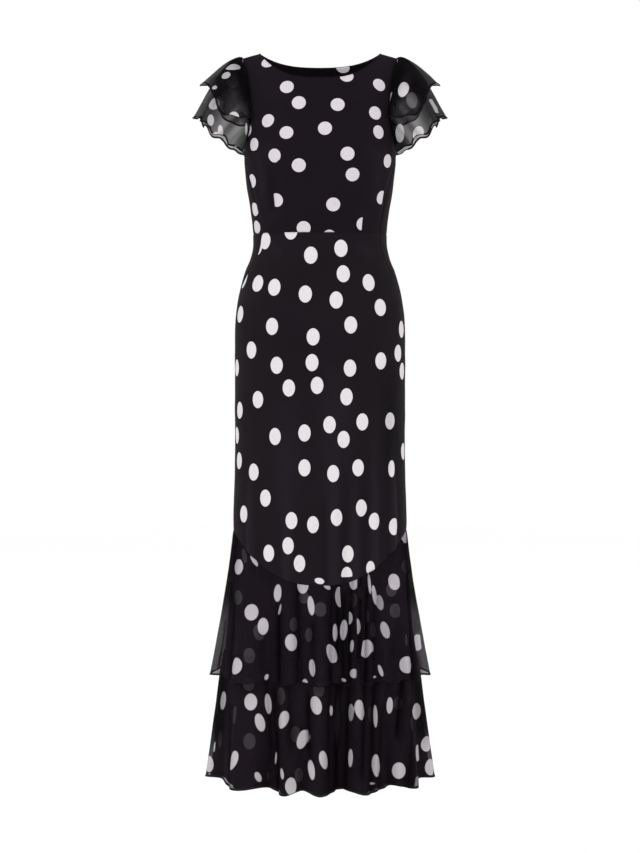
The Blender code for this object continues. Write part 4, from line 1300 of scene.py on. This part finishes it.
def cloth_finish(name, look):
    """Crepe or chiffon: threads, crinkle, the printed dots, stitching beside seams and hems, and
    painted shade in folds.
    """
    nodes = Nodes(name)
    weave = nodes.add("UVMap", uv_map="weave").outputs["UV"]
    place = nodes.add("TexCoord").outputs["Object"]
    thread = threads(nodes, weave, look.pitch)
    crinkle = nodes.noise(place, CRINKLE_SCALE, detail=3.0, roughness=0.6)
    broad = nodes.noise(place, BROAD_SCALE)
    fray = nodes.noise(place, FRAY_SCALE)
    fray = nodes.maths("MULTIPLY_ADD", fray, DOT_FRAY, -DOT_FRAY / 2)
    edge = nodes.maths("ADD", nodes.field("dot"), fray)
    dot = nodes.ramp(edge, -DOT_EDGE, DOT_EDGE, 1.0, 0.0)
    hem_end = look.hem_depth + HEM_EDGE
    hem = nodes.ramp(nodes.field("hem"), look.hem_depth, hem_end, 1.0, 0.0)
    folds_and_painted_shade = nodes.field("folds_and_painted_shade")

    yarn = nodes.maths("MULTIPLY", thread, THREAD_SHARE)
    yarn = nodes.maths("MULTIPLY_ADD", broad, BROAD_SHARE, yarn)
    black = nodes.mix(yarn, (*look.cloth, 1), (*look.thread, 1))
    faded = [part * DOT_FADE for part in look.dot]
    printed = nodes.mix(nodes.ramp(crinkle, 0.35, 0.75), (*look.dot, 1), (*faded, 1))
    # Painted shade and highlight: the black is darkened in folds and lightened on ridges, and the
    # dots are darkened in folds and take their own painted light and shade.
    black = nodes.scaled(black, nodes.ramp(folds_and_painted_shade, -1.0, 1.0, *BLACK_PAINTED_RIDGE_TO_FOLD, "LINEAR"))
    dot_painted_shade = nodes.ramp(folds_and_painted_shade, 0.0, 1.0, 1.0, DOT_PAINTED_FOLD_SHADE, "LINEAR")
    printed = nodes.scaled(printed, nodes.maths("MULTIPLY", dot_painted_shade, nodes.field("tone")))
    colour = nodes.mix(dot, black, printed)
    nodes.link(colour, nodes.shader.inputs["Base Color"])

    axes = nodes.add("SeparateXYZ")
    nodes.link(weave, axes.inputs[0])
    run = nodes.maths("ADD", axes.outputs["X"], axes.outputs["Y"])
    beat = nodes.maths("SINE", nodes.maths("MULTIPLY", run, math.tau / STITCH_LENGTH))
    lines = []
    for label, distance in (("seam", STITCH_FROM_SEAM), ("hem", STITCH_FROM_HEM)):
        off = nodes.maths("SUBTRACT", nodes.field(label), distance)
        lines.append(nodes.maths("ABSOLUTE", off))
    line = nodes.ramp(nodes.maths("MINIMUM", *lines), *STITCH_EDGE, 1.0, 0.0)
    stitch = nodes.maths("MULTIPLY", nodes.ramp(beat, *STITCH_BEAT), line)
    relief = nodes.bump(thread, distance=0.00010, strength=0.7)
    relief = nodes.bump(crinkle, distance=0.00025, strength=0.6, under=relief)
    relief = nodes.bump(stitch, distance=0.00030, strength=0.8, under=relief)
    relief = nodes.bump(dot, distance=0.00004, strength=0.5, under=relief)
    nodes.link(relief, nodes.shader.inputs["Normal"])

    nodes.link(nodes.ramp(crinkle, 0.2, 0.8, *ROUGHNESS), nodes.shader.inputs["Roughness"])
    nodes.shader.inputs["Specular IOR Level"].default_value = look.shine
    nodes.shader.inputs["Sheen Weight"].default_value = look.shine / 2
    nodes.shader.inputs["Sheen Roughness"].default_value = 0.45
    nodes.shader.inputs["Sheen Tint"].default_value = (0.80, 0.72, 0.80, 1)
    if look.cover < 1:
        covers = (look.cover - COVER_SPREAD, look.cover + COVER_SPREAD)
        open_weave = nodes.ramp(thread, 0.0, 1.0, *covers, "LINEAR")
        open_weave = nodes.ramp(folds_and_painted_shade, 0.0, 1.0, open_weave, look.fold_cover, "LINEAR")
        cover = nodes.ramp(dot, 0.0, 1.0, open_weave, look.dot_cover, "LINEAR")
        cover = nodes.ramp(hem, 0.0, 1.0, cover, look.hem_cover, "LINEAR")
        nodes.link(cover, nodes.shader.inputs["Alpha"])
    return nodes.material


def trim_finish():
    """Black polyester thread and rolled edges."""
    nodes = Nodes("black_edge")
    place = nodes.add("TexCoord").outputs["Object"]
    twist = nodes.noise(place, scale=700.0, detail=3.0)
    colour = nodes.mix(twist, (0.0025, 0.0020, 0.0025, 1), (0.008, 0.006, 0.008, 1))
    nodes.link(colour, nodes.shader.inputs["Base Color"])
    relief = nodes.bump(twist, distance=0.0002, strength=0.6)
    nodes.link(relief, nodes.shader.inputs["Normal"])
    nodes.shader.inputs["Roughness"].default_value = 0.85
    nodes.shader.inputs["Specular IOR Level"].default_value = 0.05
    return nodes.material


def metal_finish():
    """Black enamel over a zip's metal, worn a little brighter in places."""
    nodes = Nodes("black_enamel")
    place = nodes.add("TexCoord").outputs["Object"]
    wear = nodes.ramp(nodes.noise(place, scale=900.0, detail=4.0), 0.55, 0.72)
    colour = nodes.mix(wear, (0.012, 0.012, 0.013, 1), (0.16, 0.15, 0.15, 1))
    nodes.link(colour, nodes.shader.inputs["Base Color"])
    nodes.link(nodes.ramp(wear, 0.0, 1.0, 0.34, 0.5), nodes.shader.inputs["Roughness"])
    relief = nodes.bump(nodes.noise(place, scale=2500.0), distance=0.00003, strength=0.5)
    nodes.link(relief, nodes.shader.inputs["Normal"])
    nodes.shader.inputs["Metallic"].default_value = 0.8
    return nodes.material


def floor_finish():
    nodes = Nodes("studio_white")
    place = nodes.add("TexCoord").outputs["Object"]
    colour = nodes.mix(nodes.noise(place, scale=0.6), (0.98, 0.98, 0.98, 1), (1.0, 1.0, 1.0, 1))
    nodes.link(colour, nodes.shader.inputs["Base Color"])
    nodes.shader.inputs["Roughness"].default_value = 0.9
    return nodes.material


def make_bodice(finish, edge):
    """A darted front, and two backs that the concealed zip joins."""
    angle, height = bodice_grid("front")
    angle = np.concatenate([-angle[:, :0:-1], angle], axis=1)
    height = np.concatenate([height[:, :0:-1], height], axis=1)
    points = bodice(angle, height)
    # Painted shade in the creases' hollows and a painted highlight on their ridges.
    painted_fold_shade = in_trough(crease_relief(BODICE_CREASES, angle, height), CREASE_SHADE)
    darts = []
    for (low_angle, low_height), (top_angle, top_height) in DARTS:
        share = np.linspace(0, 1, DART_POINTS)
        dart_angle = np.radians(between(low_angle, top_angle, share))
        darts.append(bodice(dart_angle, between(low_height, top_height, share)))
    side_seams = [points[: SEAM_ROWS + 1, 0], points[: SEAM_ROWS + 1, -1]]
    shoulders = [points[-1, : SHOULDER_COLUMNS + 1], points[-1, -SHOULDER_COLUMNS - 1 :]]
    lines = [points[0], *darts, *side_seams, *shoulders]
    neck_line = points[-1, SHOULDER_COLUMNS:-SHOULDER_COLUMNS]
    front = cloth("bodice_front", points, finish, BODICE_DOT, lines, [neck_line], painted_fold_shade)
    give_thickness(front)
    neck = roll("front_neck_edge", neck_line, HEM_ROLL, edge)
    armholes = [
        roll(f"front_armhole_edge_{number}", points[SEAM_ROWS:, column], HEM_ROLL, edge)
        for number, column in enumerate((0, -1), start=1)
    ]

    angle, height = bodice_grid("back")
    points = bodice(angle, height)
    # Painted shade in the creases' hollows and a painted highlight on their ridges.
    painted_fold_shade = in_trough(crease_relief(BODICE_CREASES, angle, height), CREASE_SHADE)
    lines = [points[0], points[:, 0], points[: SEAM_ROWS + 1, -1], points[-1, NECK_COLUMNS:]]
    neck_line = points[-1, : NECK_COLUMNS + 1]
    for name, mirrored in (("bodice_back_left", False), ("bodice_back_right", True)):
        back = cloth(
            name, points, finish, BODICE_DOT, lines, [neck_line], painted_fold_shade, mirrored=mirrored
        )
        give_thickness(back)
        neck = roll(name + "_neck_edge", neck_line, HEM_ROLL, edge, mirrored)
        armhole = roll(name + "_armhole_edge", points[SEAM_ROWS:, -1], HEM_ROLL, edge, mirrored)


def make_skirt(finish):
    """The skirt's three panels, from the waist to the curved seam."""
    for name, start, end, grid in (
        ("skirt_front", "right", "left", SKIRT_FRONT_GRID),
        ("skirt_back_left", "left", "back", SKIRT_BACK_GRID),
        ("skirt_back_right", "back", "past", SKIRT_BACK_GRID),
    ):
        angle, height = skirt_grid(start, end, grid)
        points = skirt(angle, height)
        relief = skirt_relief(angle, height) + crease_relief(SKIRT_CREASES, angle, height)
        lines = [points[0], points[-1], points[:, 0], points[:, -1]]
        # Painted shade in the hollows of the folds and creases, and a painted highlight on their
        # ridges.
        painted_fold_shade = in_trough(relief, CREASE_SHADE)
        piece = cloth(name, points, finish, SKIRT_DOT, lines, folds_and_painted_shade=painted_fold_shade)
        give_thickness(piece)


def make_underskirt(finish):
    """The opaque layer under both tiers, tucked in behind the skirt's seam."""
    share = np.linspace(0, 1, UNDERSKIRT_GRID.rows + 1)[:, None]
    for half, rows in (("front", LOWER_FRONT_PLEATS), ("back", LOWER_BACK_PLEATS)):
        angle = half_round(half, UNDERSKIRT_GRID.columns)
        hem = lower_hem(angle) + UNDERSKIRT_HEM_RISE
        height = between(tier_seam(angle) + UNDERSKIRT_TUCK, hem, share)
        points = underskirt(angle, height, rows)
        name = "underskirt_" + half
        lines = [points[:, 0], points[:, -1]]
        piece = cloth(name, points, finish, SKIRT_DOT, lines, [points[-1]])
        give_thickness(piece)


def make_tiers(upper_finish, lower_finish, edge):
    """Both sheer tiers, front and back."""
    share = np.linspace(0, 1, TIER_GRID.rows + 1)[:, None]
    upper = (upper_tier, UPPER_SIDE_FOLD, upper_finish)
    lower = (lower_tier, LOWER_SIDE_FOLD, lower_finish)
    for name, half, rows, (surface, side_end, finish) in (
        ("upper_tier_front", "front", UPPER_FRONT_PLEATS, upper),
        ("upper_tier_back", "back", UPPER_BACK_PLEATS, upper),
        ("lower_tier_front", "front", LOWER_FRONT_PLEATS, lower),
        ("lower_tier_back", "back", LOWER_BACK_PLEATS, lower),
    ):
        angle = half_round(half, TIER_GRID.columns)
        points, folds_and_painted_shade = surface(angle, share, rows)
        # Painted shade, with more cover, under the gathered seam and beside the side seams.
        folds_and_painted_shade = np.maximum(folds_and_painted_shade, GATHER_SHADE * np.exp(-GATHER_SHADE_FADE * share))
        folds_and_painted_shade = np.maximum(folds_and_painted_shade, side_fold(angle, share, side_end))
        lines = [points[0], points[:, 0], points[:, -1]]
        piece = cloth(name, points, finish, TIER_DOT, lines, [points[-1]], folds_and_painted_shade)
        hem = roll(name + "_hem", points[-1], HEM_ROLL, edge)


def make_sleeves(finish, edge):
    """Each sleeve's longer layer and the shorter frill over it."""
    for name, surface, reach, grid, pleats in (
        ("sleeve", sleeve, SLEEVE_REACH, SLEEVE_GRID, SLEEVE_PLEATS),
        ("sleeve_frill", frill, FRILL_REACH, FRILL_GRID, FRILL_PLEATS),
    ):
        turn = np.radians(np.linspace(-reach, reach, grid.columns + 1))[None, :]
        share = np.linspace(0, 1, grid.rows + 1)[:, None]
        points, pleat_folds_and_painted_shade = pleated_sleeve(surface, pleats, turn, share)
        near_seam = np.clip((SLEEVE_DARK_TO - share) / SLEEVE_DARK_FADE, 0, 1)
        for side, cover in (("left", LEFT_SLEEVE_COVER_AND_PAINTED_SHADE), ("right", RIGHT_SLEEVE_COVER_AND_PAINTED_SHADE)):
            # The folds' cover and painted shade, from the table, the pleats and the armhole's seam.
            folds_and_painted_shade = smooth(cover, "cover", np.abs(np.degrees(turn)), key="turn")
            folds_and_painted_shade = np.maximum(np.maximum(folds_and_painted_shade, pleat_folds_and_painted_shade), eased(near_seam))
            mirrored = side == "right"
            piece = cloth(
                f"{name}_{side}", points, finish, TIER_DOT, [points[0]], [points[-1]],
                folds_and_painted_shade, tube=True, mirrored=mirrored,
            )
            hem = roll(f"{name}_{side}_hem", points[-1], HEM_ROLL, edge, mirrored)


# The studio: how far the floor reaches, and its two soft lights and what they are aimed at.
FLOOR_REACH = 9
LIGHTS_AIM = (0, 0, -0.65)
Lamp = namedtuple("Lamp", "name place power size")
LAMPS = (
    Lamp("key", (-2.2, -2.6, 1.4), 34.0, 1.8),
    Lamp("fill", (2.6, -2.2, 0.4), 14.0, 1.8),
)


def make_studio():
    """A pale floor under an even white sky, with a soft key from the front left and a fill."""
    world = bpy.data.worlds.new("studio")
    world.use_nodes = True
    world.node_tree.nodes["Background"].inputs["Color"].default_value = (1, 1, 1, 1)
    world.node_tree.nodes["Background"].inputs["Strength"].default_value = 1.0
    bpy.context.scene.world = world
    bpy.context.scene.view_settings.view_transform = "Standard"
    mesh = bpy.data.meshes.new("floor")
    sides = ((-1, -1), (1, -1), (1, 1), (-1, 1))
    corners = [(x * FLOOR_REACH, y * FLOOR_REACH, FLOOR) for x, y in sides]
    mesh.from_pydata(corners, [], [(0, 1, 2, 3)])
    mesh.materials.append(floor_finish())
    floor = bpy.data.objects.new("floor", mesh)
    bpy.context.collection.objects.link(floor)
    for lamp in LAMPS:
        data = bpy.data.lights.new(lamp.name, "AREA")
        data.energy = lamp.power
        data.size = lamp.size
        light = bpy.data.objects.new(lamp.name, data)
        light.location = lamp.place
        aim = Vector(LIGHTS_AIM) - light.location
        light.rotation_euler = aim.to_track_quat("-Z", "Y").to_euler()
        bpy.context.collection.objects.link(light)


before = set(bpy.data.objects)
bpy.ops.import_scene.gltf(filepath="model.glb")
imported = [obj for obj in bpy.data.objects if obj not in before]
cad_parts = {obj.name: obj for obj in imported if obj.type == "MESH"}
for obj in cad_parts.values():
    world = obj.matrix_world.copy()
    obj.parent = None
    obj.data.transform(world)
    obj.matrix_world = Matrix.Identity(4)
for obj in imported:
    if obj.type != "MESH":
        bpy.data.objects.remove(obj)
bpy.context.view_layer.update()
make_camera()
trim = trim_finish()
make_bodice(cloth_finish("bodice_crepe", CREPE_TOP), trim)
make_skirt(cloth_finish("skirt_crepe", CREPE_SKIRT))
make_underskirt(cloth_finish("underskirt_crepe", CREPE_UNDER))
upper_chiffon = cloth_finish("upper_chiffon", CHIFFON_UPPER)
make_tiers(upper_chiffon, cloth_finish("lower_chiffon", CHIFFON_LOWER), trim)
make_sleeves(cloth_finish("sleeve_chiffon", CHIFFON_SLEEVE), trim)
enamel = metal_finish()
for node_name in ("zip_slider", "zip_pull"):
    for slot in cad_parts[node_name].material_slots:
        slot.material = enamel
make_studio()
